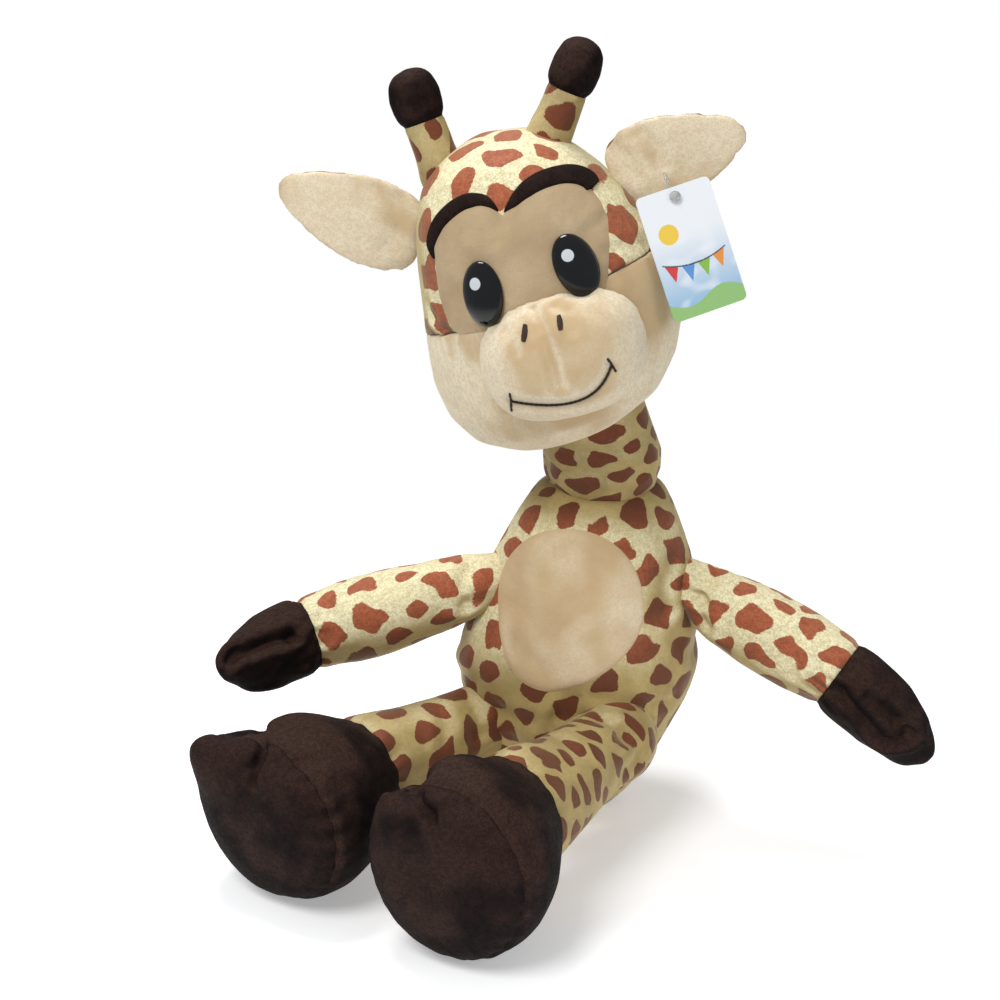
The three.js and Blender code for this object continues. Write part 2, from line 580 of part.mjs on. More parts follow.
function buildHorn(side) {
  const { root, way } = hornFrame(side);
  const line = new THREE.LineCurve3(root, root.clone().addScaledVector(way, HORN.stem + HORN.tip));
  const seam = root.clone().addScaledVector(way, HORN.stem);
  const seamUp = seam.clone().addScaledVector(way, SEAM_GAP);
  const stemSizes = { wide: HORN.wide, high: HORN.wide };
  const tipSizes = { wide: HORN.tipWide, high: HORN.tipWide };
  const stemRings = flatEnded(ringsAlong(line, hornShares, stemSizes, ALONG_Y, { rootBall: true }));
  const tipRings = flatEnded(ringsAlong(line, hornTipShares, tipSizes, ALONG_Y));
  const stem = solid(paddedForm(stemRings, SMALL_SIDES)).subtract(halfSpace(seam, way));
  const tip = solid(paddedForm(tipRings, SMALL_SIDES)).subtract(halfSpace(seamUp, way.clone().negate()));
  addPiece(head, `horn_stem_${side}`, stem, 'spotted');
  addPiece(head, `horn_tip_${side}`, tip, 'brown');
}

function earFrame(side) {
  const sign = SIDES[side];
  const rise = THREE.MathUtils.degToRad(EAR_POSE[side].rise);
  const middle = pressedAside(EAR.upShare + 0.5) + sign * HEAD.wide * EAR.apartShare / 2;
  const root = new THREE.Vector3(middle, EAR.back, HEAD.high * EAR.upShare);
  return {
    root,
    way: new THREE.Vector3(sign * Math.cos(rise), 0, Math.sin(rise)),
    across: new THREE.Vector3(-sign * Math.sin(rise), 0, Math.cos(rise)),
  };
}

function buildEar(side) {
  const { root, way, across } = earFrame(side);
  const { longShare } = EAR_POSE[side];
  const line = new THREE.LineCurve3(root, root.clone().addScaledVector(way, EAR.long * longShare));
  const sizes = { wide: EAR.wide, high: EAR.thick };
  const shares = earShares.map(([place, wide, high]) => [place < 0 ? place / longShare : place, wide, high]);
  const leaf = solid(paddedForm(ringsAlong(line, shares, sizes, across), SMALL_SIDES));
  const split = root.clone().addScaledVector(AHEAD, SEAM_GAP);
  const pierced = side === 'left' ? leaf.subtract(pinHole()) : leaf;
  addPiece(head, `ear_back_${side}`, pierced.subtract(halfSpace(root, AHEAD)), 'spotted');
  addPiece(head, `ear_lining_${side}`, pierced.subtract(halfSpace(split, ALONG_Y)), 'beige');
}

// The hang tag, which hangs on a looped pin through the left ear

function tagFrame() {
  const { root, way, across } = earFrame('left');
  const inEar = root.clone().addScaledVector(way, EAR.long * PIN.alongShare)
    .addScaledVector(across, EAR.wide * PIN.acrossShare);
  const turn = THREE.MathUtils.degToRad(TAG.turn);
  const lean = THREE.MathUtils.degToRad(TAG.lean);
  const hole = inEar.clone().add(new THREE.Vector3(PIN.aside, -EAR.thick / 2 - PIN.reach, -PIN.drop));
  const facing = AHEAD.clone().applyEuler(new THREE.Euler(-lean, 0, turn, 'ZYX'));
  return { inEar, hole, facing, turn, lean };
}

function pinHole() {
  const { inEar } = tagFrame();
  const from = inEar.clone().addScaledVector(AHEAD, EAR.thick);
  return bar(from, ALONG_Y, PIN.thick, 2 * EAR.thick, PIN_SIDES);
}

function tagOutline() {
  const half = TAG.wide / 2;
  const top = TAG.margin;
  const foot = TAG.margin - TAG.high;
  const round = TAG.corner;
  const outline = new THREE.Shape();
  outline.moveTo(-half + round, foot);
  outline.lineTo(half - round, foot);
  outline.quadraticCurveTo(half, foot, half, foot + round);
  outline.lineTo(half, top - round);
  outline.quadraticCurveTo(half, top, half - round, top);
  outline.lineTo(-half + round, top);
  outline.quadraticCurveTo(-half, top, -half, top - round);
  outline.lineTo(-half, foot + round);
  outline.quadraticCurveTo(-half, foot, -half + round, foot);
  const eyelet = new THREE.Path();
  eyelet.absarc(0, 0, TAG.hole / 2, 0, 2 * Math.PI, true);
  outline.holes.push(eyelet);
  return outline;
}

function buildTag() {
  const { hole, turn, lean } = tagFrame();
  const flat = { depth: TAG.thick, bevelEnabled: false, curveSegments: CORNER_STEPS };
  const card = new THREE.ExtrudeGeometry(tagOutline(), flat);
  card.rotateX(Math.PI / 2).translate(0, TAG.thick / 2, 0).rotateX(-lean).rotateZ(turn);
  addPiece(head, 'hang_tag', solid(card.translate(hole.x, hole.y, hole.z)), 'card');
}

// The pin's thread runs from a bar behind the ear to a round stop in front of the card
function buildPin() {
  const { inEar, hole, facing } = tagFrame();
  const behind = inEar.clone().addScaledVector(ALONG_Y, EAR.thick / 2 + PIN.thick);
  const through = inEar.clone().addScaledVector(AHEAD, EAR.thick);
  const nearCard = hole.clone().addScaledVector(facing, -TAG.thick - PIN.thick);
  const stopFrom = hole.clone().addScaledVector(facing, TAG.thick / 2 + SEAM_GAP);
  const front = stopFrom.clone().addScaledVector(facing, PIN.thick / 2);
  const way = new THREE.CatmullRomCurve3([behind, inEar, through, nearCard, front], false, 'centripetal');
  const threadShares = Array.from({ length: PIN_STEPS + 1 }, (unused, i) => [i / PIN_STEPS, 1, 1]);
  const rings = ringsAlong(way, threadShares, { wide: PIN.thick, high: PIN.thick }, UP);
  const barFrom = behind.clone().addScaledVector(UP, -PIN.bar / 2);
  const pin = solid(paddedForm(flatEnded(rings), PIN_SIDES))
    .add(bar(barFrom, UP, PIN.thick / 2, PIN.bar, PIN_SIDES))
    .add(bar(stopFrom, facing, PIN.head / 2, PIN.thick, SMALL_SIDES));
  addPiece(head, 'tag_pin', pin, 'pin');
}

// The flared groove that an ear's root turns in
function earGroove(side) {
  const { root, way, across } = earFrame(side);
  const half = seatProfile(EAR.thick / 2 + SOCKET_GAP, SWING.ear, EAR.long * EAR.grooveReachShare);
  const otherHalf = half.slice(1, -1).reverse().map((point) => new THREE.Vector2(-point.x, point.y));
  const outline = new THREE.Shape([...half, ...otherHalf]);
  const length = EAR.wide * EAR.grooveWideShare;
  const groove = new THREE.ExtrudeGeometry(outline, { depth: length, bevelEnabled: false });
  groove.translate(0, 0, -length / 2);
  const turned = new THREE.Matrix4().makeBasis(way.clone().cross(across), way, across);
  groove.applyMatrix4(turned);
  return solid(groove.translate(root.x, root.y, root.z));
}

// The stuffed head in two fabrics, with its sockets and the eyes' pockets
function buildCapAndJowls(eyes) {
  const neckWayHere = neckWay.clone().transformDirection(intoHead);
  const seatRadius = NECK.topWide / 2 + SOCKET_GAP;
  const seat = seatCutter(headSocket, neckWayHere.negate(), seatRadius, SWING.head, NECK.long);
  const jowlBlock = new THREE.BoxGeometry(OVERRUN, OVERRUN, OVERRUN);
  const jowlRegion = (gap) => solid(jowlBlock.clone()
    .translate(0, JOWL.back + gap - OVERRUN / 2, gap - OVERRUN / 2)
    .rotateY(THREE.MathUtils.degToRad(-JOWL.tilt)).translate(0, 0, JOWL.top));
  const form = headForm(0);
  let cap = form.subtract(jowlRegion(SEAM_GAP)).subtract(seat);
  const hornRadius = HORN.wide * hornShares[0][1] / 2;
  for (const side of Object.keys(SIDES)) {
    const { root, way } = hornFrame(side);
    cap = cap.subtract(seatCutter(root, way, hornRadius + SOCKET_GAP, SWING.horn, HORN.stem));
    cap = cap.subtract(earGroove(side));
  }
  for (const eye of eyes) cap = cap.subtract(eye.hole).subtract(eye.pocket);
  addPiece(head, 'head_cap', cap, 'spotted');
  addPiece(head, 'jowls', form.intersect(jowlRegion(0)).subtract(seat), 'beige');
}

// The face panel, the brows along its top and the eyes set in it
function buildFace(eyes) {
  const skin = headForm(SEAM_GAP);
  const browProud = headForm(BROW.proud);
  let mask = headForm(MASK.thick).subtract(skin).intersect(frontPrism(maskOutline(), HEAD.deep));
  for (const side of Object.keys(SIDES)) {
    const sign = SIDES[side];
    const crest = crestCurve(sign);
    const band = frontPrism(stripOutline(crest, BROW.wide, BROW.endShare, SMALL_SIDES), HEAD.deep);
    const roomWide = BROW.wide + 2 * SEAM_GAP;
    const room = frontPrism(stripOutline(crest, roomWide, BROW.endShare, SMALL_SIDES), HEAD.deep);
    const ownWay = ALONG_X.clone().multiplyScalar(sign);
    const middle = ALONG_X.clone().multiplyScalar(PANEL.aside).addScaledVector(ownWay, SEAM_GAP / 2);
    const otherHalf = halfSpace(middle, ownWay.clone().negate());
    addPiece(head, `brow_${side}`, browProud.subtract(skin).intersect(band).subtract(otherHalf), 'brown');
    mask = mask.subtract(room);
  }
  for (const eye of eyes) {
    mask = mask.subtract(eye.hole);
    addPiece(head, `eye_${eye.side}`, eye.eye, 'eye');
    addPiece(head, `eye_washer_${eye.side}`, eye.washer, 'washer');
  }
  addPiece(head, 'face_mask', mask, 'beige');
}

function buildMuzzle(eyes) {
  let muzzle = muzzleForm(0).subtract(headForm(MASK.thick + SEAM_GAP));
  for (const eye of eyes) muzzle = muzzle.subtract(eye.room);
  addPiece(head, 'muzzle', muzzle, 'beige');
}

// A thin layer of stitches on the front half of the muzzle, as far as an outline reaches
function stitchLayer(outline, proud) {
  const backHalf = halfSpace(AHEAD.clone().multiplyScalar(MUZZLE_AT.forward), ALONG_Y);
  return muzzleForm(proud).intersect(outline).subtract(muzzleForm(SEAM_GAP)).subtract(backHalf);
}

function buildNostril(side) {
  const sign = SIDES[side];
  const place = new THREE.Vector2(sign * NOSTRIL.apart / 2, NOSTRIL.up - MUZZLE_AT.down);
  const tilt = THREE.MathUtils.degToRad(NOSTRIL_POSE[side].tilt);
  const outline = new THREE.Shape();
  outline.absellipse(place.x, place.y, NOSTRIL.long / 2, NOSTRIL.thick / 2, 0, 2 * Math.PI, false, tilt);
  const prism = frontPrism(outline, MUZZLE_AT.forward + MUZZLE.deep);
  addPiece(head, `nostril_${side}`, stitchLayer(prism, NOSTRIL.proud), 'brown');
}

function buildMouth() {
  const level = -MUZZLE_AT.down - MOUTH.down;
  const half = MOUTH.wide / 2;
  const smile = new THREE.QuadraticBezierCurve(
    new THREE.Vector2(-half, level),
    new THREE.Vector2(0, level + MOUTH.lift / 2 - 2 * MOUTH.sag),
    new THREE.Vector2(half, level + MOUTH.lift),
  );
  const reach = MUZZLE_AT.forward + MUZZLE.deep;
  const strip = (curve, count) => frontPrism(stripOutline(curve, MOUTH.thick, 1, count), reach);
  let line = strip(smile, SMALL_SIDES);
  for (const end of [smile.v0, smile.v2]) {
    const tick = new THREE.LineCurve(
      new THREE.Vector2(end.x, end.y - MOUTH.tick / 2),
      new THREE.Vector2(end.x, end.y + MOUTH.tick / 2),
    );
    line = line.add(strip(tick, 1));
  }
  addPiece(head, 'mouth_stitch', stitchLayer(line, MOUTH.proud), 'thread');
}

// Body, its patch and the sockets that the limbs sit in

function buildTorso() {
  let torso = solid(paddedForm(torsoRings(0), BODY_SIDES)).subtract(floor);
  const seatFor = (root, way, wide, swing, reach) => {
    torso = torso.subtract(seatCutter(root, way, wide / 2 + SOCKET_GAP, swing, reach));
  };
  seatFor(neckBase, neckWay, NECK.baseWide, SWING.neck, NECK.long);
  for (const side of Object.keys(SIDES)) {
    const arm = armLine(side);
    const leg = legLine(side);
    seatFor(arm.root, arm.direction, ARM.wide * armShares[0][1], SWING.arm, ARM_POSE[side].long);
    seatFor(leg.root, leg.direction, LEG.thick * legShares[0][1], SWING.leg, LEG_POSE[side].long);
  }
  const tail = tailLine();
  seatFor(tail.root, tail.way, TAIL.wide, SWING.tail, TAIL.long);
  addPiece(giraffe, 'torso', torso, 'spotted');
}

function buildPatch() {
  const oval = new THREE.Shape();
  const centre = torsoPoint([PATCH.heightShare, PATCH.sideShare, 0]);
  const half = { wide: TORSO.wide * PATCH.wideShare / 2, high: TORSO.high * PATCH.highShare / 2 };
  oval.absellipse(0, 0, half.wide, half.high, 0, 2 * Math.PI, false, 0);
  const flat = { depth: TORSO.deep, bevelEnabled: false, curveSegments: BODY_SIDES };
  const prism = new THREE.ExtrudeGeometry(oval, flat);
  prism.rotateX(Math.PI / 2).rotateY(THREE.MathUtils.degToRad(PATCH.lean));
  prism.translate(centre.x, centre.y, centre.z);
  const patch = solid(paddedForm(torsoRings(PATCH.thick), BODY_SIDES)).intersect(solid(prism))
    .subtract(solid(paddedForm(torsoRings(SEAM_GAP), BODY_SIDES)));
  addPiece(giraffe, 'tummy_patch', patch, 'beige');
}

// Tail

function tailLine() {
  const [, deep] = sizesAt(torsoShares, TAIL.rootHeight / TORSO.high);
  const spine = spineFoot.clone().lerp(spineTop, TAIL.rootHeight / TORSO.high);
  const root = new THREE.Vector3(spine.x, spine.y + deep * TORSO.deep / 2, TAIL.rootHeight);
  const tuftHeight = TAIL.tuftWide / 2 + TAIL.lift;
  const drop = root.z - tuftHeight;
  const run = Math.sqrt(TAIL.long ** 2 - drop ** 2);
  const end = new THREE.Vector3(root.x, root.y + run, tuftHeight);
  return { root, end, way: end.clone().sub(root).normalize() };
}

function buildTail() {
  const { root, end, way } = tailLine();
  const sizes = { wide: TAIL.wide, high: TAIL.wide };
  const line = new THREE.LineCurve3(root, end);
  const rings = flatEnded(ringsAlong(line, tailShares, sizes, ALONG_X, { rootBall: true }));
  addPiece(giraffe, 'tail', solid(paddedForm(rings, SMALL_SIDES)), 'spotted');
  const from = end.clone().addScaledVector(way, SEAM_GAP);
  const tuftLine = new THREE.LineCurve3(from, from.clone().addScaledVector(ALONG_Y, TAIL.tuftLong));
  const tuftSizes = { wide: TAIL.tuftWide, high: TAIL.tuftWide };
  const tuftRings = flatEnded(ringsAlong(tuftLine, tuftShares, tuftSizes, ALONG_X));
  const tuft = solid(paddedForm(tuftRings, SMALL_SIDES)).subtract(halfSpace(from, way.clone().negate()));
  addPiece(giraffe, 'tail_tuft', tuft, 'brown');
}

const eyes = Object.keys(SIDES).map((side) => ({ side, ...eyeParts(side) }));
buildTorso();
buildPatch();
buildNeck();
buildCapAndJowls(eyes);
buildFace(eyes);
buildMuzzle(eyes);
buildMouth();
for (const side of Object.keys(SIDES)) {
  buildNostril(side);
  buildHorn(side);
  buildEar(side);
  buildArm(side);
  buildLeg(side);
}
buildTag();
buildPin();
buildTail();

export default giraffe;
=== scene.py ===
"""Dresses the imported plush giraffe: stuffed plush forms, plastic eyes, stitches and a hang tag.

Metres, in the part's own frame: +Z up, the toy faces -Y and its own left side is at +X.
"""

import json
import logging
import math
from collections.abc import Callable, Sequence
from dataclasses import dataclass, field
from enum import Enum

import bmesh
import bpy
import numpy as np
from mathutils import Matrix, Vector, noise
from mathutils.bvhtree import BVHTree

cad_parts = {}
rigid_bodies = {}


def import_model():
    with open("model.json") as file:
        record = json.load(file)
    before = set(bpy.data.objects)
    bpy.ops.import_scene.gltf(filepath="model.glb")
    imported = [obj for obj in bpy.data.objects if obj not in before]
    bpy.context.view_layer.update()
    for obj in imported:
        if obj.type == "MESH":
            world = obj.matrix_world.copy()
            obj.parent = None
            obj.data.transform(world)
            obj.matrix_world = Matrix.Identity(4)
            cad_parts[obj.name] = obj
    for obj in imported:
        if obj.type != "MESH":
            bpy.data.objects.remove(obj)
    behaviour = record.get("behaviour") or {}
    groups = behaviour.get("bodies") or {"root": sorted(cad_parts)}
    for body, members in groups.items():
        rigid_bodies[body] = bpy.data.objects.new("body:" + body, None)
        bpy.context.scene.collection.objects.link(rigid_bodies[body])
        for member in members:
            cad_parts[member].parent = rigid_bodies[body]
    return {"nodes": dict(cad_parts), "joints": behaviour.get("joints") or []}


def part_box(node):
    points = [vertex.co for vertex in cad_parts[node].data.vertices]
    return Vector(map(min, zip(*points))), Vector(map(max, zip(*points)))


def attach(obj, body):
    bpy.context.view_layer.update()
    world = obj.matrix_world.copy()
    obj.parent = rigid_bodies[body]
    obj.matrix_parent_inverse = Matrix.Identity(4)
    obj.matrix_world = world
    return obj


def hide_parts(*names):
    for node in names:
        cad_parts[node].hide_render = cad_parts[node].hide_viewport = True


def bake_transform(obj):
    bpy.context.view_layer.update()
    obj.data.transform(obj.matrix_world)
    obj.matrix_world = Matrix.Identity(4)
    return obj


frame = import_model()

logging.basicConfig(level=logging.INFO, format="%(message)s")
log = logging.getLogger("giraffe")

Colour = tuple[float, float, float]
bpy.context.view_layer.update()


class Side(Enum):
    """The toy's own sides, with the way each lies along X."""

    RIGHT = -1.0
    LEFT = 1.0

    @property
    def word(self) -> str:
        """The side's word in a node's name."""
        return self.name.lower()


class Slot(Enum):
    """The record's material slots."""

    SPOTTED = "spotted"
    BEIGE = "beige"
    BROWN = "brown"
    EYE = "eye"
    WASHER = "washer"
    THREAD = "thread"
    CARD = "card"
    PIN = "pin"


def srgb(red: int, green: int, blue: int) -> Colour:
    """A linear colour from the 0 to 255 values it is known by.

    Args:
        red: Red, 0 to 255.
        green: Green, 0 to 255.
        blue: Blue, 0 to 255.

    Returns:
        The linear colour.
    """

    def linear(value: int) -> float:
        """One channel from its display value."""
        share = value / 255
        return share / 12.92 if share <= 0.04045 else ((share + 0.055) / 1.055) ** 2.4

    return linear(red), linear(green), linear(blue)


class Bench:
    """Small jobs with Blender's operators, each on one object alone."""

    @staticmethod
    def pick(obj: bpy.types.Object) -> None:
        """Makes an object the only selected one, and the active one.

        Args:
            obj: The object.
        """
        for other in bpy.context.selected_objects:
            other.select_set(False)
        obj.select_set(True)
        bpy.context.view_layer.objects.active = obj

    @staticmethod
    def clear() -> None:
        """Leaves nothing selected."""
        for other in bpy.context.selected_objects:
            other.select_set(False)

    @staticmethod
    def settle(obj: bpy.types.Object) -> None:
        """Puts an object's place, turn and scale into its mesh.

        Args:
            obj: The object.
        """
        Bench.pick(obj)
        bpy.ops.object.transform_apply(location=True, rotation=True, scale=True)

    @staticmethod
    def modify(obj: bpy.types.Object, kind: str, **values: object) -> None:
        """Adds a modifier with the given values and applies it.

        Args:
            obj: The object.
            kind: The modifier's type.
            **values: Its settings.
        """
        Bench.pick(obj)
        modifier = obj.modifiers.new(kind.title(), kind)
        for key, value in values.items():
            setattr(modifier, key, value)
        bpy.ops.object.modifier_apply(modifier=modifier.name)

    @staticmethod
    def remesh(obj: bpy.types.Object, size: float) -> None:
        """Rebuilds a closed mesh from voxels.

        Args:
            obj: The object.
            size: The voxel's side.
        """
        Bench.pick(obj)
        obj.data.remesh_voxel_size = size
        obj.data.remesh_voxel_adaptivity = 0
        bpy.ops.object.voxel_remesh()

    @staticmethod
    def round_off(obj: bpy.types.Object, rounds: int, factor: float = 0.5) -> None:
        """Evens a mesh out by smoothing.

        Args:
            obj: The object.
            rounds: How many times.
            factor: How far each time.
        """
        Bench.modify(obj, "SMOOTH", factor=factor, iterations=rounds)

    @staticmethod
    def refine(obj: bpy.types.Object, levels: int = 1) -> None:
        """Subdivides a mesh smoothly.

        Args:
            obj: The object.
            levels: How many times.
        """
        Bench.modify(obj, "SUBSURF", levels=levels, render_levels=levels)

    @staticmethod
    def twin(obj: bpy.types.Object, name: str) -> bpy.types.Object:
        """A copy of an object with its own mesh.

        Args:
            obj: The object.
            name: The copy's name.

        Returns:
            The copy.
        """
        made = bpy.data.objects.new(name, obj.data.copy())
        made.data.name = name
        bpy.context.scene.collection.objects.link(made)
        return made

    @staticmethod
    def cut(obj: bpy.types.Object, tool: bpy.types.Object, operation: str) -> None:
        """Cuts a closed mesh with another, or keeps what they share.

        Args:
            obj: The mesh that is cut.
            tool: The mesh that cuts it.
            operation: DIFFERENCE or INTERSECT.
        """
        Bench.modify(obj, "BOOLEAN", operation=operation, object=tool, solver="EXACT")

    @staticmethod
    def discard(obj: bpy.types.Object) -> None:
        """Removes a helper object."""
        bpy.data.objects.remove(obj, do_unlink=True)

    @staticmethod
    def smooth_shade(obj: bpy.types.Object, angle: float = 60) -> None:
        """Shades an object smooth up to an angle between faces.

        Args:
            obj: The object.
            angle: The angle in degrees.
        """
        Bench.pick(obj)
        bpy.ops.object.shade_smooth_by_angle(angle=math.radians(angle))


class Skin:
    """A mesh's points as arrays, so that it can be shaped like a stuffed skin."""

    def __init__(self, obj: bpy.types.Object) -> None:
        """Reads an object's points.

        Args:
            obj: The object.
        """
        self.obj = obj
        self.points = np.empty((0, 3))
        self.normals = np.empty((0, 3))
        self.read()

    def read(self) -> None:
        """Takes the points and their normals from the mesh."""
        mesh = self.obj.data
        flat = np.empty(len(mesh.vertices) * 3)
        mesh.vertices.foreach_get("co", flat)
        self.points = flat.reshape(-1, 3).copy()
        mesh.vertex_normals.foreach_get("vector", flat)
        self.normals = flat.reshape(-1, 3).copy()

    def write(self) -> None:
        """Puts the points back into the mesh."""
        self.obj.data.vertices.foreach_set("co", self.points.ravel())
        self.obj.data.update()

    def push(self, amount: np.ndarray) -> None:
        """Moves each point along its normal and takes the new shape.

        Args:
            amount: How far each point moves, in metres.
        """
        self.points += self.normals * amount[:, None]
        self.write()
        self.read()

    def lumps(self, size: float, seed: float) -> np.ndarray:
        """Smooth uneven values from about -1 to 1 over the skin.

        Args:
            size: The size of a lump.
            seed: Sets one pattern apart from another.

        Returns:
            A value for each point.
        """
        shift = Vector((seed, seed * 1.7, seed * 0.6))
        return np.array([noise.noise(Vector(point) / size + shift) for point in self.points])

    def uneven(self, height: float, size: float, seed: float) -> None:
        """Gives the filling slight lumps.

        Args:
            height: The height of a lump.
            size: The size of a lump.
            seed: Sets one pattern apart from another.
        """
        self.push(self.lumps(size, seed) * height)

    def distance_to(self, path: Sequence[Vector]) -> np.ndarray:
        """How far each point is from a line of points.

        Args:
            path: The line.

        Returns:
            A distance for each point.
        """
        nearest = np.full(len(self.points), np.inf)
        for start, end in zip(path[:-1], path[1:]):
            a, run = np.array(start), np.array(end) - np.array(start)
            share = np.clip((self.points - a) @ run / max(run @ run, 1e-12), 0, 1)
            gap = np.linalg.norm(self.points - (a + share[:, None] * run), axis=1)
            nearest = np.minimum(nearest, gap)
        return nearest

    def crease(self, path: Sequence[Vector], depth: float, width: float) -> None:
        """Presses a soft groove along a line.

        Args:
            path: The line, near the surface.
            depth: The groove's depth, or a ridge's height where it is negative.
            width: The groove's half width.
        """
        self.push(-depth * np.exp(-((self.distance_to(path) / width) ** 2)))

    def fold(self, path: Sequence[Vector], depth: float, width: float) -> None:
        """Presses a fold along a line: a groove with the cloth raised beside it.

        Args:
            path: The line, near the surface.
            depth: The groove's depth.
            width: The groove's half width.
        """
        if len(path) < 2:
            return
        away = self.distance_to(path) / width
        self.push(depth * (0.4 * np.exp(-((away - 2.1) ** 2)) - np.exp(-(away**2))))

    def swell(self, centre: Vector, height: float, reach: float) -> None:
        """Raises a soft round lump.

        Args:
            centre: The lump's middle.
            height: How high it is.
            reach: How wide it is.
        """
        away = np.linalg.norm(self.points - np.array(centre), axis=1) / reach
        self.push(height * np.exp(-(away**2)))

    def grab(self, centre: Sequence[Vector], move: Vector, reach: float) -> None:
        """Pulls the skin softly round a point.

        Args:
            centre: The point, in a list that may be empty.
            move: How far and which way it is pulled.
            reach: How wide the pull is.
        """
        for point in centre:
            away = np.linalg.norm(self.points - np.array(point), axis=1) / reach
            self.points += np.exp(-(away**2))[:, None] * np.array(move)[None, :]
        self.write()
        self.read()

    def ring(self, centre: Vector, way: Vector, depth: float, width: float) -> None:
        """Draws the skin in along a flat seam.

        Args:
            centre: A point of the seam.
            way: The way across the seam.
            depth: How deep.
            width: The groove's half width.
        """
        along = (self.points - np.array(centre)) @ np.array(way.normalized())
        self.push(-depth * np.exp(-((along / width) ** 2)))

    def gather(self, centre: Vector, axis: Vector, reach: float, depth: float, folds: int, seed: float) -> None:
        """Puckers the skin where it is sewn to its neighbour at a flat seam.

        Args:
            centre: The middle of the seam.
            axis: The way across the seam.
            reach: How far the puckers run from the seam.
            depth: How deep they are.
            folds: How many there are round it.
            seed: Sets one seam apart from another.
        """
        way = axis.normalized()
        side = way.orthogonal().normalized()
        up = way.cross(side)
        offset = self.points - np.array(centre)
        along = offset @ np.array(way)
        turn = np.arctan2(offset @ np.array(up), offset @ np.array(side))
        wander = 0.5 * np.sin(2 * turn + seed) + 0.35 * np.sin(3 * turn + 2 * seed)
        wave = 0.5 + 0.5 * np.cos(folds * turn + 2.2 * wander + seed)
        strength = 0.4 + 0.6 * np.clip(0.5 + 0.5 * np.sin(turn + 1.9 * seed), 0, 1)
        self.push(-depth * wave * strength * np.exp(-((along / reach) ** 2)))

    def keep_above(self, height: float) -> None:
        """Flattens what would sink under a level.

        Args:
            height: The level.
        """
        self.points[:, 2] = np.maximum(self.points[:, 2], height)
        self.write()
        self.read()


@dataclass(frozen=True)
class Pad:
    """How one stuffed piece is made from the solids it stands for.

    The solids are copied and merged, rebuilt from voxels, evened out and then
    blown up as cloth under pressure, with the points of its seams held.
    """

    name: str
    nodes: tuple[str, ...]
    slot: Slot
    voxel: float = 0.0032
    relax: int = 8
    pressure: float = 4.0
    cap: float = 0.0035
    fill: float = 0.75
    hulls: tuple[str, ...] = ()

    def copy(self) -> bpy.types.Object:
        """The solids as one closed mesh.

        Returns:
            The new object.
        """
        shape = bmesh.new()
        for node in self.hulls:
            shape.from_mesh(frame["nodes"][node].data)
        if self.hulls:
            hull = bmesh.ops.convex_hull(shape, input=shape.verts)
            spare = {part for part in hull["geom_interior"] + hull["geom_unused"]}
            points = [part for part in spare if isinstance(part, bmesh.types.BMVert)]
            bmesh.ops.delete(shape, geom=points, context="VERTS")
        for node in self.nodes:
            if node not in self.hulls:
                shape.from_mesh(frame["nodes"][node].data)
        bmesh.ops.remove_doubles(shape, verts=shape.verts, dist=1e-6)
        bmesh.ops.recalc_face_normals(shape, faces=shape.faces)
        mesh = bpy.data.meshes.new(self.name)
        shape.to_mesh(mesh)
        shape.free()
        made = bpy.data.objects.new(self.name, mesh)
        bpy.context.scene.collection.objects.link(made)
        return made

    def stuff(self, held: Callable[[np.ndarray], np.ndarray] | None = None) -> bpy.types.Object:
        """Makes the stuffed piece.

        Args:
            held: Tells which points a seam holds, from all the points.

        Returns:
            The new object.
        """
        made = self.copy()
        Bench.remesh(made, self.voxel)
        Bench.round_off(made, self.relax)
        self.blow_up(made, held)
        Bench.refine(made)
        return made

    def blow_up(self, made: bpy.types.Object, held: Callable[[np.ndarray], np.ndarray] | None) -> None:
        """Lets the skin swell like cloth round its filling, up to the cap.

        Args:
            made: The piece.
            held: Tells which points a seam holds.
        """
        before = Skin(made).points.copy()
        Bench.pick(made)
        cloth = made.modifiers.new("Stuffing", "CLOTH")
        settings = cloth.settings
        settings.quality = 4
        settings.mass = 0.2
        settings.tension_stiffness = 12
        settings.compression_stiffness = 12
        settings.shear_stiffness = 6
        settings.bending_stiffness = 0.6
        settings.use_pressure = True
        settings.uniform_pressure_force = self.pressure
        settings.effector_weights.gravity = 0
        cloth.collision_settings.use_collision = False
        if held is not None:
            group = made.vertex_groups.new(name="seams")
            group.add([int(i) for i in np.flatnonzero(held(before))], 1.0, "REPLACE")
            settings.vertex_group_mass = "seams"
        scene = bpy.context.scene
        for step in range(1, 21):
            scene.frame_set(step)
        bpy.ops.object.modifier_apply(modifier=cloth.name)
        scene.frame_set(1)
        skin = Skin(made)
        moved = skin.points - before
        far = np.linalg.norm(moved, axis=1)
        skin.points = before + moved * (self.cap / np.maximum(far, self.cap))[:, None]
        skin.write()

    def finish(self, made: bpy.types.Object, finish: bpy.types.Material) -> None:
        """Args:
            made: The piece.
            finish: Its material.
        """
        dress(made, finish, self.nodes)


def dress(made: bpy.types.Object, finish: bpy.types.Material, nodes: Sequence[str] = ()) -> None:
    """Gives a finished piece its material and the nodes it stands for.

    Args:
        made: The piece.
        finish: Its material.
        nodes: The nodes that it replaces.
    """
    made.vertex_groups.clear()
    Bench.smooth_shade(made)
    made.data.materials.clear()
    made.data.materials.append(finish)
    if nodes:
        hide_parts(*nodes)
    log.info("%s: %d faces", made.name, len(made.data.polygons))


def keep_value(made: bpy.types.Object, name: str, values: np.ndarray) -> None:
    """Keeps a number at each point of a mesh for its finish.

    Args:
        made: The piece.
        name: The attribute's name.
        values: A number for each point.
    """
    layer = made.data.attributes.new(name, "FLOAT", "POINT")
    layer.data.foreach_set("value", values.astype(np.float32))


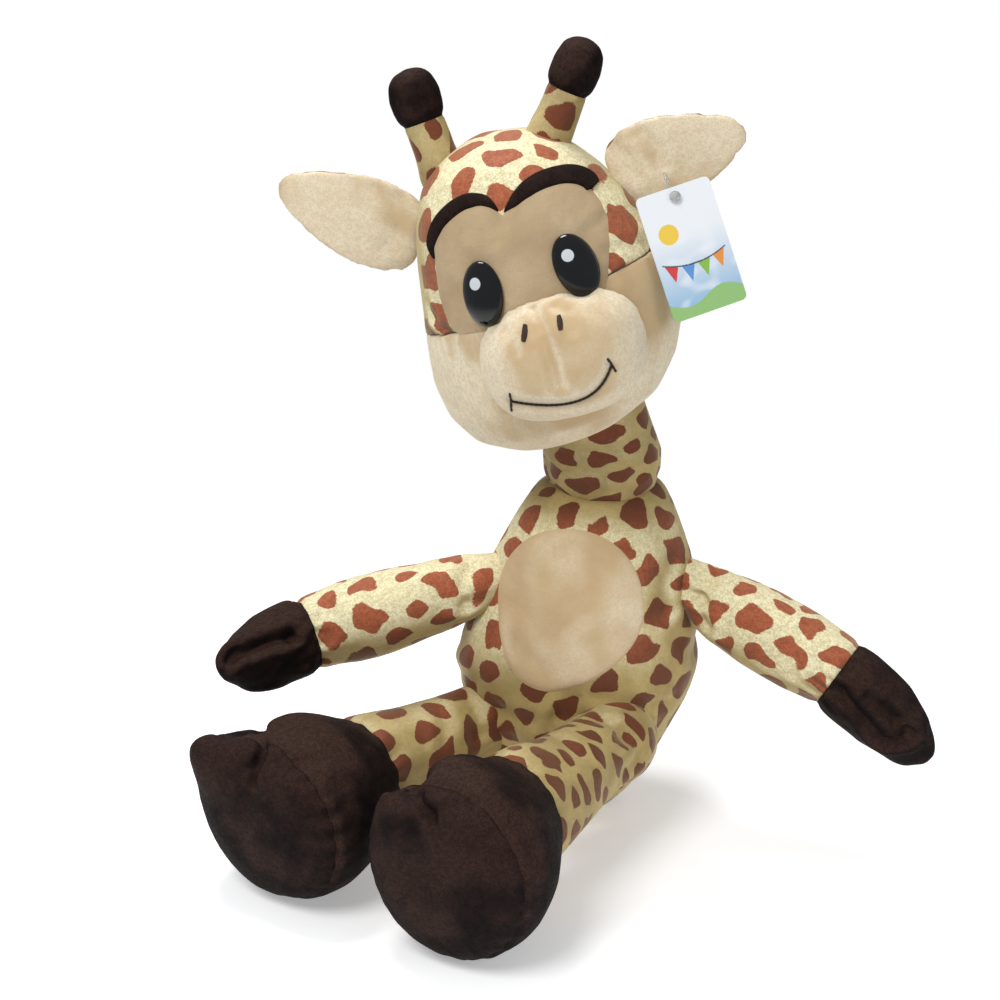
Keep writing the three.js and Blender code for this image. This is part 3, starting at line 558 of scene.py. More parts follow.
def mark_cloth(made: bpy.types.Object, turn: Matrix, stretch: Colour, shift: float) -> None:
    """Keeps each point's place on the cloth, which the pile follows.

    Args:
        made: The piece.
        turn: Turns the part's frame to the cloth's own.
        stretch: How much longer the pile lies along each way of the cloth.
        shift: Sets one piece's pile apart from another's.
    """
    skin = Skin(made)
    rows = np.array(turn.to_3x3())
    placed = skin.points @ rows.T / np.array(stretch) + shift
    cloth = made.data.attributes.new("cloth_at", "FLOAT_VECTOR", "POINT")
    cloth.data.foreach_set("vector", placed.astype(np.float32).ravel())


@dataclass(frozen=True)
class SpotPrint:
    """Rounded uneven spots scattered over one piece of cloth, a common animal print."""

    spacing: float = 0.0205
    gap: float = 0.0056
    stretch: float = 1.0
    seed: int = 1
    round_by: float = 0.0016

    def choose(self, places: np.ndarray, rng: np.random.Generator) -> list[np.ndarray]:
        """Picks the spots' middles, none too near another.

        Args:
            places: Every point's place on the cloth.
            rng: The source of chance.

        Returns:
            The middles.
        """
        chosen: list[np.ndarray] = []
        for index in rng.permutation(len(places))[:5000]:
            need = self.spacing * rng.uniform(0.82, 1.08)
            gaps = np.linalg.norm(np.array(chosen) - places[index], axis=1) if chosen else np.array([1.0])
            if gaps.min() > need:
                chosen.append(places[index])
        return chosen

    def mark(self, made: bpy.types.Object, turn: Matrix) -> None:
        """Keeps how far inside a spot each point lies, in millimetres.

        Args:
            made: The piece.
            turn: Turns the part's frame to the cloth's own.
        """
        rng = np.random.default_rng(self.seed)
        places = Skin(made).points @ np.array(turn.to_3x3()).T
        places[:, 2] /= self.stretch
        middles = self.choose(places, rng)
        drift = [noise.noise_vector(Vector(p) / 0.0135) * 0.0046 + noise.noise_vector(Vector(p) / 0.0075) * 0.0018 for p in places]
        places = places + np.array(drift)
        nearest = np.full(len(places), 1.0)
        second = np.full(len(places), 1.0)
        for centre in middles:
            way = rng.normal(size=3)
            way /= np.linalg.norm(way)
            narrow = 1 - (1 - rng.uniform(0, 0.5)) ** 2
            radius = self.spacing * rng.uniform(0.4, 0.56)
            offset = places - centre
            along = offset @ way
            span = np.sqrt(np.maximum((offset * offset).sum(axis=1) - narrow * along * along, 0)) - radius
            second = np.minimum(second, np.maximum(nearest, span))
            nearest = np.minimum(nearest, span)
        inner, apart = -nearest, (second - nearest - self.gap) / 2
        joined = -self.round_by * np.logaddexp(-inner / self.round_by, -apart / self.round_by)
        keep_value(made, "spot_depth", joined * 1000)


@dataclass(frozen=True)
class Nap:
    """Painted sheen: where the pile is painted paler, by how the surface faces a set way."""

    # way is the way a surface faces to get the most painted sheen; above and below are heights beyond which it fades
    # out
    way: Colour = (-0.25, -0.6, 0.76)
    start: float = 0.2
    full: float = 0.8
    least: float = 0.0
    most: float = 1.0
    patchy: float = 0.45
    above: float = -1.0
    below: float = 1.0

    def mark(self, made: bpy.types.Object, seed: float) -> None:
        """Keeps how much painted sheen each point gets, from 0 to 1.

        Args:
            made: The piece.
            seed: Sets one piece's patches apart from another's.
        """
        skin = Skin(made)
        facing = skin.normals @ np.array(Vector(self.way).normalized())
        value = (facing - self.start) / (self.full - self.start)
        value = value + self.patchy * (skin.lumps(0.03, seed) + 0.5 * skin.lumps(0.011, seed + 3))
        value = np.clip(value, 0, 1)
        if self.above > 0:
            value = value * np.clip((skin.points[:, 2] - self.above) / 0.035, 0, 1)
        value = value * np.clip((self.below - skin.points[:, 2]) / 0.018, 0, 1)
        smooth = value * value * (3 - 2 * value)
        keep_value(made, "nap_lit", self.least + (self.most - self.least) * smooth)


class Recipe:
    """Places nodes in a node tree and links them."""

    def __init__(self, tree: bpy.types.NodeTree) -> None:
        """Starts on a tree.

        Args:
            tree: The node tree.
        """
        self.tree = tree
        self.count = 0

    def add(self, kind: str, settings: dict[str, object] | None = None, **inputs: object) -> bpy.types.Node:
        """Adds a node, sets it and feeds its inputs.

        Args:
            kind: The node's type, without the ShaderNode at its start.
            settings: Its own properties.
            **inputs: Values or sockets for its inputs, with _ for a space.

        Returns:
            The node.
        """
        node = self.tree.nodes.new(kind if kind.startswith("Node") else "ShaderNode" + kind)
        node.location = (200 * (self.count % 9), -220 * (self.count // 9))
        self.count += 1
        for key, value in (settings or {}).items():
            setattr(node, key, value)
        for key, value in inputs.items():
            self.feed(node, key.replace("_", " "), value)
        return node

    def feed(self, node: bpy.types.Node, name: str, value: object) -> None:
        """Feeds one input from a socket or sets it to a value.

        Args:
            node: The node.
            name: The input's name, or its number in words of digits.
            value: A socket, a number, a colour or a vector.
        """
        socket = node.inputs[int(name[1:])] if name[:1] == "n" and name[1:].isdigit() else node.inputs[name]
        if isinstance(value, bpy.types.NodeSocket):
            self.tree.links.new(value, socket)
        elif isinstance(value, tuple) and len(value) == 3 and socket.type == "RGBA":
            socket.default_value = (*value, 1)
        else:
            socket.default_value = value

    def math(self, operation: str, first: object, second: object = 0.0) -> bpy.types.NodeSocket:
        """A sum of two values or sockets.

        Args:
            operation: The math node's operation.
            first: The first value or socket.
            second: The second value or socket.

        Returns:
            The result's socket.
        """
        return self.add("Math", {"operation": operation}, n0=first, n1=second).outputs[0]

    def noise(self, where: object, scale: float, detail: float = 2.0, rough: float = 0.5) -> bpy.types.NodeSocket:
        """A cloud of noise.

        Args:
            where: The place's socket.
            scale: How fine it is.
            detail: How many finer layers it has.
            rough: How strong these are.

        Returns:
            The noise's value socket.
        """
        node = self.add("TexNoise", None, Vector=where, Scale=scale, Detail=detail, Roughness=rough)
        return node.outputs["Fac"]

    def ramp(self, value: object, low: float, high: float) -> bpy.types.NodeSocket:
        """A smooth step from 0 at one value to 1 at another.

        Args:
            value: The socket that is stepped.
            low: Where it is 0.
            high: Where it is 1.

        Returns:
            The step's socket.
        """
        node = self.add("MapRange", {"interpolation_type": "SMOOTHSTEP"}, Value=value, n1=low, n2=high)
        return node.outputs["Result"]

    def mix(self, share: object, first: object, second: object) -> bpy.types.NodeSocket:
        """A mix of two colours.

        Args:
            share: How much of the second.
            first: The first colour.
            second: The second colour.

        Returns:
            The mixed colour's socket.
        """
        node = self.add("Mix", {"data_type": "RGBA"})
        self.feed(node, "n0", share)
        self.feed(node, "n6", first)
        self.feed(node, "n7", second)
        return node.outputs[2]


class Effects:
    """Node groups that more than one finish uses."""

    def __init__(self) -> None:
        """Builds each group once."""
        self.pile = self.build_pile()
        self.spots = self.build_spots()

    @staticmethod
    def group(name: str, inputs: dict[str, float | None], outputs: Sequence[str]) -> tuple[object, Recipe, object, object]:
        """A new group with its sockets.

        Args:
            name: The group's name.
            inputs: Each input's name and value, or None for a place.
            outputs: Each output's name.

        Returns:
            The group, its recipe, its input node and its output node.
        """
        tree = bpy.data.node_groups.new(name, "ShaderNodeTree")
        for key, value in inputs.items():
            kind = "NodeSocketVector" if value is None else "NodeSocketFloat"
            socket = tree.interface.new_socket(key, in_out="INPUT", socket_type=kind)
            if value is not None:
                socket.default_value = value
        for key in outputs:
            tree.interface.new_socket(key, in_out="OUTPUT", socket_type="NodeSocketFloat")
        recipe = Recipe(tree)
        return tree, recipe, recipe.add("NodeGroupInput"), recipe.add("NodeGroupOutput")

    def build_pile(self) -> bpy.types.NodeTree:
        """Short velvet pile: its height, its soft shading and the grain that catches light.

        Returns:
            The group, with the outputs Height, Crush and Grain.
        """
        tree, r, given, out = self.group("velvet_pile", {"Place": None, "Crush Size": 30.0}, ("Height", "Crush", "Grain"))
        place = given.outputs["Place"]
        tips = r.noise(place, 1250, 2.0, 0.65)
        tufts = r.noise(place, 420, 2.0, 0.6)
        crush = r.add("TexNoise", None, Vector=place, Scale=given.outputs["Crush Size"], Detail=4.0, Roughness=0.65, Distortion=0.5)
        folds = r.ramp(crush.outputs["Fac"], 0.36, 0.66)
        height = r.math("ADD", r.math("MULTIPLY", tips, 0.55), r.math("MULTIPLY", tufts, 0.45))
        height = r.math("ADD", height, r.math("MULTIPLY", folds, 0.4))
        grain = r.math("ADD", r.math("MULTIPLY", tips, 0.6), r.math("MULTIPLY", tufts, 0.4))
        r.feed(out, "Height", height)
        r.feed(out, "Crush", folds)
        r.feed(out, "Grain", r.ramp(grain, 0.4, 0.6))
        return tree

    def build_spots(self) -> bpy.types.NodeTree:
        """The edge of printed spots, softened by the pile.

        Returns:
            The group, with the output Mask.
        """
        tree, r, given, out = self.group("printed_spots", {"Place": None, "Depth": 0.0}, ("Mask",))
        fuzz = r.noise(given.outputs["Place"], 900, 2.0, 0.6)
        ragged = r.math("ADD", given.outputs["Depth"], r.math("MULTIPLY", r.math("SUBTRACT", fuzz, 0.5), 1.3))
        r.feed(out, "Mask", r.ramp(ragged, -0.22, 0.22))
        return tree


@dataclass(frozen=True)
class Velvet:
    """A short-pile plush in one colour, with a painted sheen where the surface faces a set way and painted shade
    between its tufts.
    """

    name: str
    # away: a darker tone for random crushed patches, also painted as shade between the tufts; lit: the colour of the
    # painted sheen
    away: Colour
    base: Colour
    lit: Colour
    crush_size: float = 30.0
    sheen: float = 0.4
    rough: float = 0.7
    pile: float = 0.0005
    grainy: float = 0.3
    lit_grain: float = 0.5
    gloss: float = 0.25

    def nap(self, r: Recipe, pile: bpy.types.Node) -> bpy.types.NodeSocket:
        """How strongly the painted sheen shows over the surface.

        Args:
            r: The material's recipe.
            pile: The pile's group node.

        Returns:
            The share's socket.
        """
        lit = r.add("Attribute", {"attribute_name": "nap_lit"}).outputs["Fac"]
        grain = r.math("ADD", 1 - self.lit_grain, r.math("MULTIPLY", pile.outputs["Grain"], self.lit_grain))
        return r.math("MULTIPLY", lit, grain)

    def colour(self, r: Recipe, pile: bpy.types.Node, place: bpy.types.NodeSocket) -> bpy.types.NodeSocket:
        """The cloth's colour over the surface, with painted shade between the tufts and a painted sheen.

        Args:
            r: The material's recipe.
            pile: The pile's group node.
            place: The place on the cloth; not used.

        Returns:
            The colour's socket.
        """
        # Painted shade between the tufts, where the grain is low
        tuft_shade = r.math("MULTIPLY", r.math("SUBTRACT", 1.0, pile.outputs["Grain"]), self.grainy)
        tone_with_tuft_shade = r.mix(tuft_shade, r.mix(pile.outputs["Crush"], self.away, self.base), self.away)
        # Painted sheen: paler towards lit where the surface faces the set way
        return r.mix(self.nap(r, pile), tone_with_tuft_shade, self.lit)

    def build(self, effects: Effects) -> bpy.types.Material:
        """Makes the material.

        Args:
            effects: The shared groups.

        Returns:
            The material.
        """
        material = bpy.data.materials.new(self.name)
        material.use_nodes = True
        tree = material.node_tree
        tree.nodes.clear()
        r = Recipe(tree)
        place = r.add("Attribute", {"attribute_name": "cloth_at"}).outputs["Vector"]
        pile = r.add("Group", {"node_tree": effects.pile}, Place=place, Crush_Size=self.crush_size)
        colour = self.colour(r, pile, place)
        rough = r.math("SUBTRACT", self.rough, r.math("MULTIPLY", pile.outputs["Grain"], 0.14))
        bump = r.add("Bump", None, Strength=0.7, Distance=self.pile, Height=pile.outputs["Height"])
        shader = r.add("BsdfPrincipled", None, Base_Color=colour, Roughness=rough, Normal=bump.outputs["Normal"])
        shader.inputs["Sheen Weight"].default_value = self.sheen
        shader.inputs["Sheen Roughness"].default_value = 0.4
        shader.inputs["Sheen Tint"].default_value = (*self.lit, 1)
        shader.inputs["Specular IOR Level"].default_value = self.gloss
        output = r.add("OutputMaterial")
        tree.links.new(shader.outputs[0], output.inputs["Surface"])
        return material


@dataclass(frozen=True)
class SpottedVelvet(Velvet):
    """A velvet with a print of rounded spots."""

    spot: Colour = (0.2, 0.06, 0.03)
    spot_lit: Colour = (0.4, 0.15, 0.08)
    effects: Effects | None = field(default=None, compare=False)

    def colour(self, r: Recipe, pile: bpy.types.Node, place: bpy.types.NodeSocket) -> bpy.types.NodeSocket:
        """The printed cloth's colour over the surface, with the painted sheen on the spots too.

        Args:
            r: The material's recipe.
            pile: The pile's group node.
            place: The place on the cloth.

        Returns:
            The colour's socket.
        """
        ground = super().colour(r, pile, place)
        depth = r.add("Attribute", {"attribute_name": "spot_depth"}).outputs["Fac"]
        spots = r.add("Group", {"node_tree": self.effects.spots}, Place=place, Depth=depth)
        # The painted sheen lightens the spots too, towards spot_lit
        spot = r.mix(r.math("MULTIPLY", self.nap(r, pile), 0.9), self.spot, self.spot_lit)
        return r.mix(spots.outputs["Mask"], ground, spot)


@dataclass(frozen=True)
class Plain:
    """A smooth finish: thread, card edge, washer or clear pin."""

    name: str
    colour: Colour
    rough: float = 0.5
    coat: float = 0.0
    grain: float = 0.0
    grain_size: float = 400.0
    clear: float = 0.0

    def build(self) -> bpy.types.Material:
        """Makes the material.

        Returns:
            The material.
        """
        material = bpy.data.materials.new(self.name)
        material.use_nodes = True
        tree = material.node_tree
        tree.nodes.clear()
        r = Recipe(tree)
        place = r.add("TexCoord").outputs["Object"]
        grain = r.noise(place, self.grain_size, 3.0, 0.6)
        darker = tuple(value * 0.72 for value in self.colour)
        colour = r.mix(r.ramp(grain, 0.35, 0.65), darker, self.colour)
        rough = r.math("ADD", self.rough, r.math("MULTIPLY", r.math("SUBTRACT", grain, 0.5), 0.12))
        bump = r.add("Bump", None, Strength=0.5, Distance=self.grain, Height=grain)
        shader = r.add("BsdfPrincipled", None, Base_Color=colour, Roughness=rough, Normal=bump.outputs["Normal"])
        shader.inputs["Coat Weight"].default_value = self.coat
        shader.inputs["Transmission Weight"].default_value = self.clear
        output = r.add("OutputMaterial")
        tree.links.new(shader.outputs[0], output.inputs["Surface"])
        return material


@dataclass(frozen=True)
class EyePlastic:
    """Polished black plastic with a round pale dot printed under its gloss."""

    name: str
    dot_at: Vector
    dot_radius: float

    def build(self) -> bpy.types.Material:
        """Makes the material.

        Returns:
            The material.
        """
        material = bpy.data.materials.new(self.name)
        material.use_nodes = True
        tree = material.node_tree
        tree.nodes.clear()
        r = Recipe(tree)
        place = r.add("TexCoord").outputs["Object"]
        gap = r.add("VectorMath", {"operation": "DISTANCE"}, n0=place, n1=tuple(self.dot_at)).outputs["Value"]
        dot = r.ramp(gap, self.dot_radius * 1.05, self.dot_radius * 0.96)
        haze = r.noise(place, 180, 2.0, 0.5)
        black = r.mix(haze, srgb(6, 6, 7), srgb(16, 17, 18))
        colour = r.mix(dot, black, srgb(206, 210, 213))
        rough = r.math("ADD", 0.06, r.math("MULTIPLY", haze, 0.05))
        shader = r.add("BsdfPrincipled", None, Base_Color=colour, Roughness=rough)
        output = r.add("OutputMaterial")
        tree.links.new(shader.outputs[0], output.inputs["Surface"])
        return material


@dataclass
class Wardrobe:
    """Every finish on the toy, each made once."""

    effects: Effects = field(default_factory=Effects)

    def __post_init__(self) -> None:
        """Makes the materials."""
        # Each velvet: away, a darker tone for random crushed patches that is also painted as shade between the tufts;
        # base; lit, the colour of the painted sheen
        ground = dict(away=srgb(160, 138, 88), base=srgb(188, 165, 108), lit=srgb(241, 232, 192))
        spots = dict(spot=srgb(104, 58, 38), spot_lit=srgb(180, 100, 68), effects=self.effects)
        self.spotted = SpottedVelvet("spotted_plush", **ground, **spots).build(self.effects)
        self.beige = Velvet("beige_velvet", srgb(196, 168, 128), srgb(206, 180, 140), srgb(241, 229, 202), crush_size=26.0, grainy=0.16, lit_grain=0.45).build(self.effects)
        self.face = Velvet("face_velvet", srgb(172, 148, 115), srgb(190, 166, 130), srgb(220, 202, 170), crush_size=16.0, grainy=0.15).build(self.effects)
        self.brown = Velvet(
            "chocolate_velvet", srgb(20, 14, 14), srgb(33, 23, 21), srgb(76, 55, 46), crush_size=120.0, sheen=0.03, rough=0.85, gloss=0.08
        ).build(self.effects)
        self.thread = Plain("black_thread", srgb(30, 25, 24), rough=0.55, grain=0.0002, grain_size=1500).build()
        self.brown_thread = Plain("brown_thread", srgb(62, 44, 36), rough=0.5, grain=0.0002, grain_size=1500).build()
        self.washer = Plain("washer_plastic", srgb(226, 226, 220), rough=0.4, grain=0.00004).build()
        self.pin = Plain("clear_nylon", srgb(232, 236, 238), rough=0.2, grain=0.00001, clear=0.7).build()


@dataclass(frozen=True)
class Joint:
    """A packed joint's pivot and axis at rest."""

    pivot: Vector
    axis: Vector
    parent: str
    child: str

    @classmethod
    def named(cls, name: str) -> "Joint":
        """The joint of that name.

        Args:
            name: The joint's name in the record.

        Returns:
            The joint.
        """
        found = next(j for j in frame["joints"] if j["name"] == name)
        return cls(Vector(found["pos_m"]), Vector(found["axis"]), found["parent"], found["child"])

    def sew(self, made: bpy.types.Object, way: Vector, before: float, after: float) -> None:
        """Puts a piece's place and turn into its mesh.

        Args:
            made: The piece.
            way: The way from the parent to the child; not used.
            before: Where the bend starts, from the pivot along the way; not used.
            after: Where it ends; not used.
        """
        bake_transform(made)


def middle(*nodes: str) -> Vector:
    """The middle of the box round some nodes.

    Args:
        *nodes: The nodes' names.

    Returns:
        The middle.
    """
    corners = [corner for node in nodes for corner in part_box(node)]
    low = Vector([min(c[i] for c in corners) for i in range(3)])
    high = Vector([max(c[i] for c in corners) for i in range(3)])
    return (low + high) / 2


@dataclass(frozen=True)
class Seam:
    """A flat seam across a stuffed form, looking from its first piece to its second."""

    centre: Vector
    way: Vector
    gap: float = 0.0001

    @classmethod
    def between(cls, first: str, second: str) -> "Seam":
        """The seam where two nodes' flat ends meet.

        Args:
            first: One node.
            second: The other node.

        Returns:
            The seam.
        """
        one = Skin(frame["nodes"][first]).points
        two = Skin(frame["nodes"][second]).points
        gaps = np.linalg.norm(one[:, None, :] - two[None, :, :], axis=2)
        touch = one[gaps.min(axis=1) < 0.0012]
        centre = touch.mean(axis=0)
        way = np.linalg.svd(touch - centre)[2][2]
        way = way if (two.mean(axis=0) - one.mean(axis=0)) @ way > 0 else -way
        return cls(Vector(centre), Vector(way))

    def near(self, points: np.ndarray, reach: float) -> np.ndarray:
        """Which points lie within reach of the seam.

        Args:
            points: The points.
            reach: How near they must be.

        Returns:
            True for each that does.
        """
        return np.abs((points - np.array(self.centre)) @ np.array(self.way)) < reach

    def part(self, whole: bpy.types.Object, name: str, second: bool) -> bpy.types.Object:
        """One side of a form that is cut along the seam.

        Args:
            whole: The form.
            name: The part's name.
            second: Whether the part is the one beyond the seam.

        Returns:
            The part.
        """
        made = Bench.twin(whole, name)
        Bench.pick(made)
        bpy.ops.object.mode_set(mode="EDIT")
        bpy.ops.mesh.select_all(action="SELECT")
        at = self.centre + self.way * (self.gap if second else -self.gap)
        bpy.ops.mesh.bisect(plane_co=at, plane_no=self.way, use_fill=True, clear_inner=second, clear_outer=not second)
        bpy.ops.object.mode_set(mode="OBJECT")
        return made


@dataclass(frozen=True)
class Sight:
    """The front view, in which the places of folds are given: 0 to 1000 across and down."""

    elevation: float = 17.0
    distance: float = 1.1
    reach: float = 2000.0
    target: Vector = field(default_factory=lambda: Vector((-0.0352, 0, 0.1808)))

    @property
    def ahead(self) -> Vector:
        """The way the view looks."""
        tilt = math.radians(self.elevation)
        return Vector((0, math.cos(tilt), -math.sin(tilt)))

    @property
    def eye(self) -> Vector:
        """Where the view is seen from."""
        return self.target - self.ahead * self.distance

    def trace(self, made: bpy.types.Object, *places: tuple[float, float]) -> list[Vector]:
        """The points of a piece that show at places of the view.

        Args:
            made: The piece.
            *places: Each place, across and down.

        Returns:
            The points, without places that miss the piece.
        """
        tree = BVHTree.FromObject(made, bpy.context.evaluated_depsgraph_get())
        hits = [tree.ray_cast(self.eye, self.toward(*place))[0] for place in places]
        return [hit for hit in hits if hit is not None]

    @property
    def up(self) -> Vector:
        """The way that is up in the view."""
        return Vector((1, 0, 0)).cross(self.ahead)

    def toward(self, across: float, down: float) -> Vector:
        """The direction of a place of the view.

        Args:
            across: The place across.
            down: The place down.

        Returns:
            The direction from the eye.
        """
        aside = Vector((1, 0, 0)) * ((across - 500) / self.reach)
        return (self.ahead + aside - self.up * ((down - 500) / self.reach)).normalized()

    def crest(self, made: bpy.types.Object, across: float, above: float) -> list[Vector]:
        """The top of a piece's outline at a place across the view.

        Args:
            made: The piece.
            across: The place across.
            above: A place down the view that is still above the piece.

        Returns:
            The point, or no point where the piece isn't met.
        """
        tree = BVHTree.FromObject(made, bpy.context.evaluated_depsgraph_get())
        for step in range(140):
            hit = tree.ray_cast(self.eye, self.toward(across, above + step * 0.8))[0]
            if hit is not None:
                return [hit]
        return []


def cloth_frame(way: Vector) -> Matrix:
    """A turn that takes a direction to the cloth's own Z.

    Args:
        way: The direction that the cloth runs along.

    Returns:
        The turn.
    """
    return way.normalized().rotation_difference(Vector((0, 0, 1))).to_matrix()


@dataclass
class Body:
    """The torso, its tummy patch, the neck and the tail."""

    wardrobe: Wardrobe
    sight: Sight
    patch_low: float = -0.0002
    patch_high: float = 0.002

    def build(self) -> None:
        """Makes every piece of the body."""
        self.build_torso()
        self.build_neck()
        self.build_patch()
        self.build_tail()

    def build_torso(self) -> None:
        """The stuffed torso, flat where it sits, with a hollow under each limb's root filled."""
        pad = Pad("torso_plush", ("torso",), Slot.SPOTTED, voxel=0.0036, relax=6, cap=0.003, hulls=("torso",))
        neck = Joint.named("neck_lean").pivot
        torso = pad.stuff(lambda p: (p[:, 2] < 0.004) | (p[:, 2] > neck.z - 0.014))
        skin = Skin(torso)
        skin.uneven(0.0011, 0.04, 3.0)
        for number, name in enumerate(("shoulder_right", "shoulder_left", "hip_right", "hip_left")):
            self.pucker(skin, Joint.named(name).pivot, self.limb_way(name), 0.03, number)
        for path, depth, width in (
            (((560, 716), (600, 722), (640, 722)), 0.0022, 0.004),
            (((470, 694), (500, 712), (530, 722)), 0.002, 0.004),
            (((600, 700), (640, 706), (672, 700)), 0.0014, 0.0035),
            (((676, 562), (668, 585), (670, 606)), 0.0008, 0.004),
            (((560, 500), (600, 496), (640, 500)), 0.0012, 0.0035),
        ):
            skin.fold(self.sight.trace(torso, *path), depth, width)
        skin.grab(self.sight.trace(torso, (473, 652)), Vector((-0.006, 0, 0)), 0.022)
        skin.keep_above(0.0)
        pad.finish(torso, self.wardrobe.spotted)
        mark_cloth(torso, Matrix.Identity(3), (1, 1, 1.12), 0.31)
        SpotPrint(spacing=0.0188, gap=0.0054, seed=4, stretch=0.92).mark(torso, Matrix.Identity(3))
        # Painted sheen, faded out towards the bottom and above the chest, where the head's shade falls
        Nap(start=0.15, full=0.75, most=0.85, above=0.085, below=0.186).mark(torso, 0.4)
        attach(torso, "torso")
        self.torso = torso

    @staticmethod
    def limb_way(joint: str) -> Vector:
        """The way a limb leaves its joint.

        Args:
            joint: The joint's name.

        Returns:
            The direction.
        """
        kind, side = joint.split("_")
        node = ("arm_" if kind == "shoulder" else "leg_") + side
        return (middle(node) - Joint.named(joint).pivot).normalized()

    @staticmethod
    def pucker(skin: Skin, pivot: Vector, way: Vector, radius: float, seed: int) -> None:
        """Draws the skin in round a limb's root, with folds that run out from it.

        Args:
            skin: The torso's skin.
            pivot: The limb's pivot.
            way: The way the limb leaves.
            radius: The radius of the limb's root.
            seed: Sets one limb's folds apart from another's.
        """
        offset = skin.points - np.array(pivot)
        along = offset @ np.array(way)
        out = np.linalg.norm(offset - along[:, None] * np.array(way), axis=1)
        side = way.orthogonal().normalized()
        up = way.cross(side)
        turn = np.arctan2(offset @ np.array(up), offset @ np.array(side))
        near = 1 / (1 + np.exp(-(along + 0.006) / 0.003))
        ring = np.exp(-(((out - radius) / 0.007) ** 2)) * near
        folds = 0.5 + 0.5 * np.cos(9 * turn + 1.3 * np.sin(2 * turn + seed) + seed)
        spread = np.exp(-(((out - radius) / 0.011) ** 2)) * near
        skin.push(-0.0022 * ring - 0.0012 * folds * spread)

    def build_neck(self) -> None:
        """The neck, gathered at its base."""
        pad = Pad("neck_plush", ("neck",), Slot.SPOTTED, voxel=0.003, relax=6, cap=0.002)
        joint = Joint.named("neck_lean")
        top = Joint.named("head_nod").pivot
        way = (top - joint.pivot).normalized()
        neck = pad.stuff()
        skin = Skin(neck)
        skin.uneven(0.001, 0.03, 5.0)
        skin.gather(joint.pivot + way * -0.006, way, 0.012, 0.0016, 11, 0.7)
        for path in (((546, 462), (580, 470), (620, 466)), ((556, 450), (600, 455), (640, 440)), ((610, 478), (640, 474), (660, 476))):
            skin.fold(self.sight.trace(neck, *path), 0.0013, 0.0032)
        pad.finish(neck, self.wardrobe.spotted)
        mark_cloth(neck, Matrix.Identity(3), (1.2, 1.2, 0.95), 0.9)
        SpotPrint(spacing=0.0195, gap=0.005, seed=11, stretch=0.6).mark(neck, Matrix.Identity(3))
        Nap(most=0.25).mark(neck, 2.0)
        joint.sew(neck, way, -0.012, 0.012)

    def build_patch(self) -> None:
        """The beige oval sewn flat on the chest, with its rim drawn in."""
        low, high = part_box("tummy_patch")
        centre = (low + high) / 2
        half = Vector(((high.x - low.x) / 2, 0, (high.z - low.z) / 2))

        def outline(turn: float) -> tuple[float, float]:
            """A point of the patch's rim from its turn."""
            lean = -0.013 * max(-math.sin(turn), 0) ** 2
            return centre.x + half.x * math.cos(turn) + lean, centre.z + half.z * math.sin(turn)

        patch = SewnPatch("tummy_patch_plush", outline, (centre.x, centre.z), self.patch_low, self.patch_high)
        made = patch.build(self.torso, Matrix.Identity(4))
        skin = Skin(made)
        skin.uneven(0.0006, 0.03, 9.0)
        for path, depth in ((((512, 640), (528, 658), (545, 674)), 0.0008), (((553, 626), (549, 644), (548, 662)), 0.0006)):
            skin.fold(self.sight.trace(made, *path), depth, 0.0048)
        dress(made, self.wardrobe.beige, ("tummy_patch",))
        mark_cloth(made, Matrix.Identity(3), (1, 1, 1), 0.2)
        Nap(way=(0.1, -0.8, 0.3), start=0.55, full=1.4, most=0.6, patchy=0.7).mark(made, 5.0)
        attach(made, "torso")

    def build_tail(self) -> None:
        """The tail and the tuft on its end, behind the seat."""
        joint = Joint.named("tail_lift")
        way = (middle("tail_tuft") - joint.pivot).normalized()
        pad = Pad("tail_plush", ("tail",), Slot.SPOTTED, voxel=0.0018, relax=5, cap=0.001)
        tail = pad.stuff()
        pad.finish(tail, self.wardrobe.spotted)
        mark_cloth(tail, cloth_frame(way), (1, 1, 1.3), 2.2)
        SpotPrint(spacing=0.013, gap=0.0042, seed=31, stretch=1.2).mark(tail, cloth_frame(way))
        Nap(most=0.5).mark(tail, 7.0)
        joint.sew(tail, way, -0.004, 0.008)
        tip = Pad("tail_tuft_plush", ("tail_tuft",), Slot.BROWN, voxel=0.0018, relax=4, cap=0.001)
        tuft = tip.stuff()
        skin = Skin(tuft)
        skin.gather(middle("tail_tuft") + Vector((0, 0.006, 0)), Vector((0, 1, 0)), 0.016, 0.0022, 7, 0.3)
        skin.keep_above(0.0)
        tip.finish(tuft, self.wardrobe.brown)
        mark_cloth(tuft, cloth_frame(way), (1, 1, 2), 0.4)
        Nap(most=0.5).mark(tuft, 7.5)
        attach(tuft, "tail")


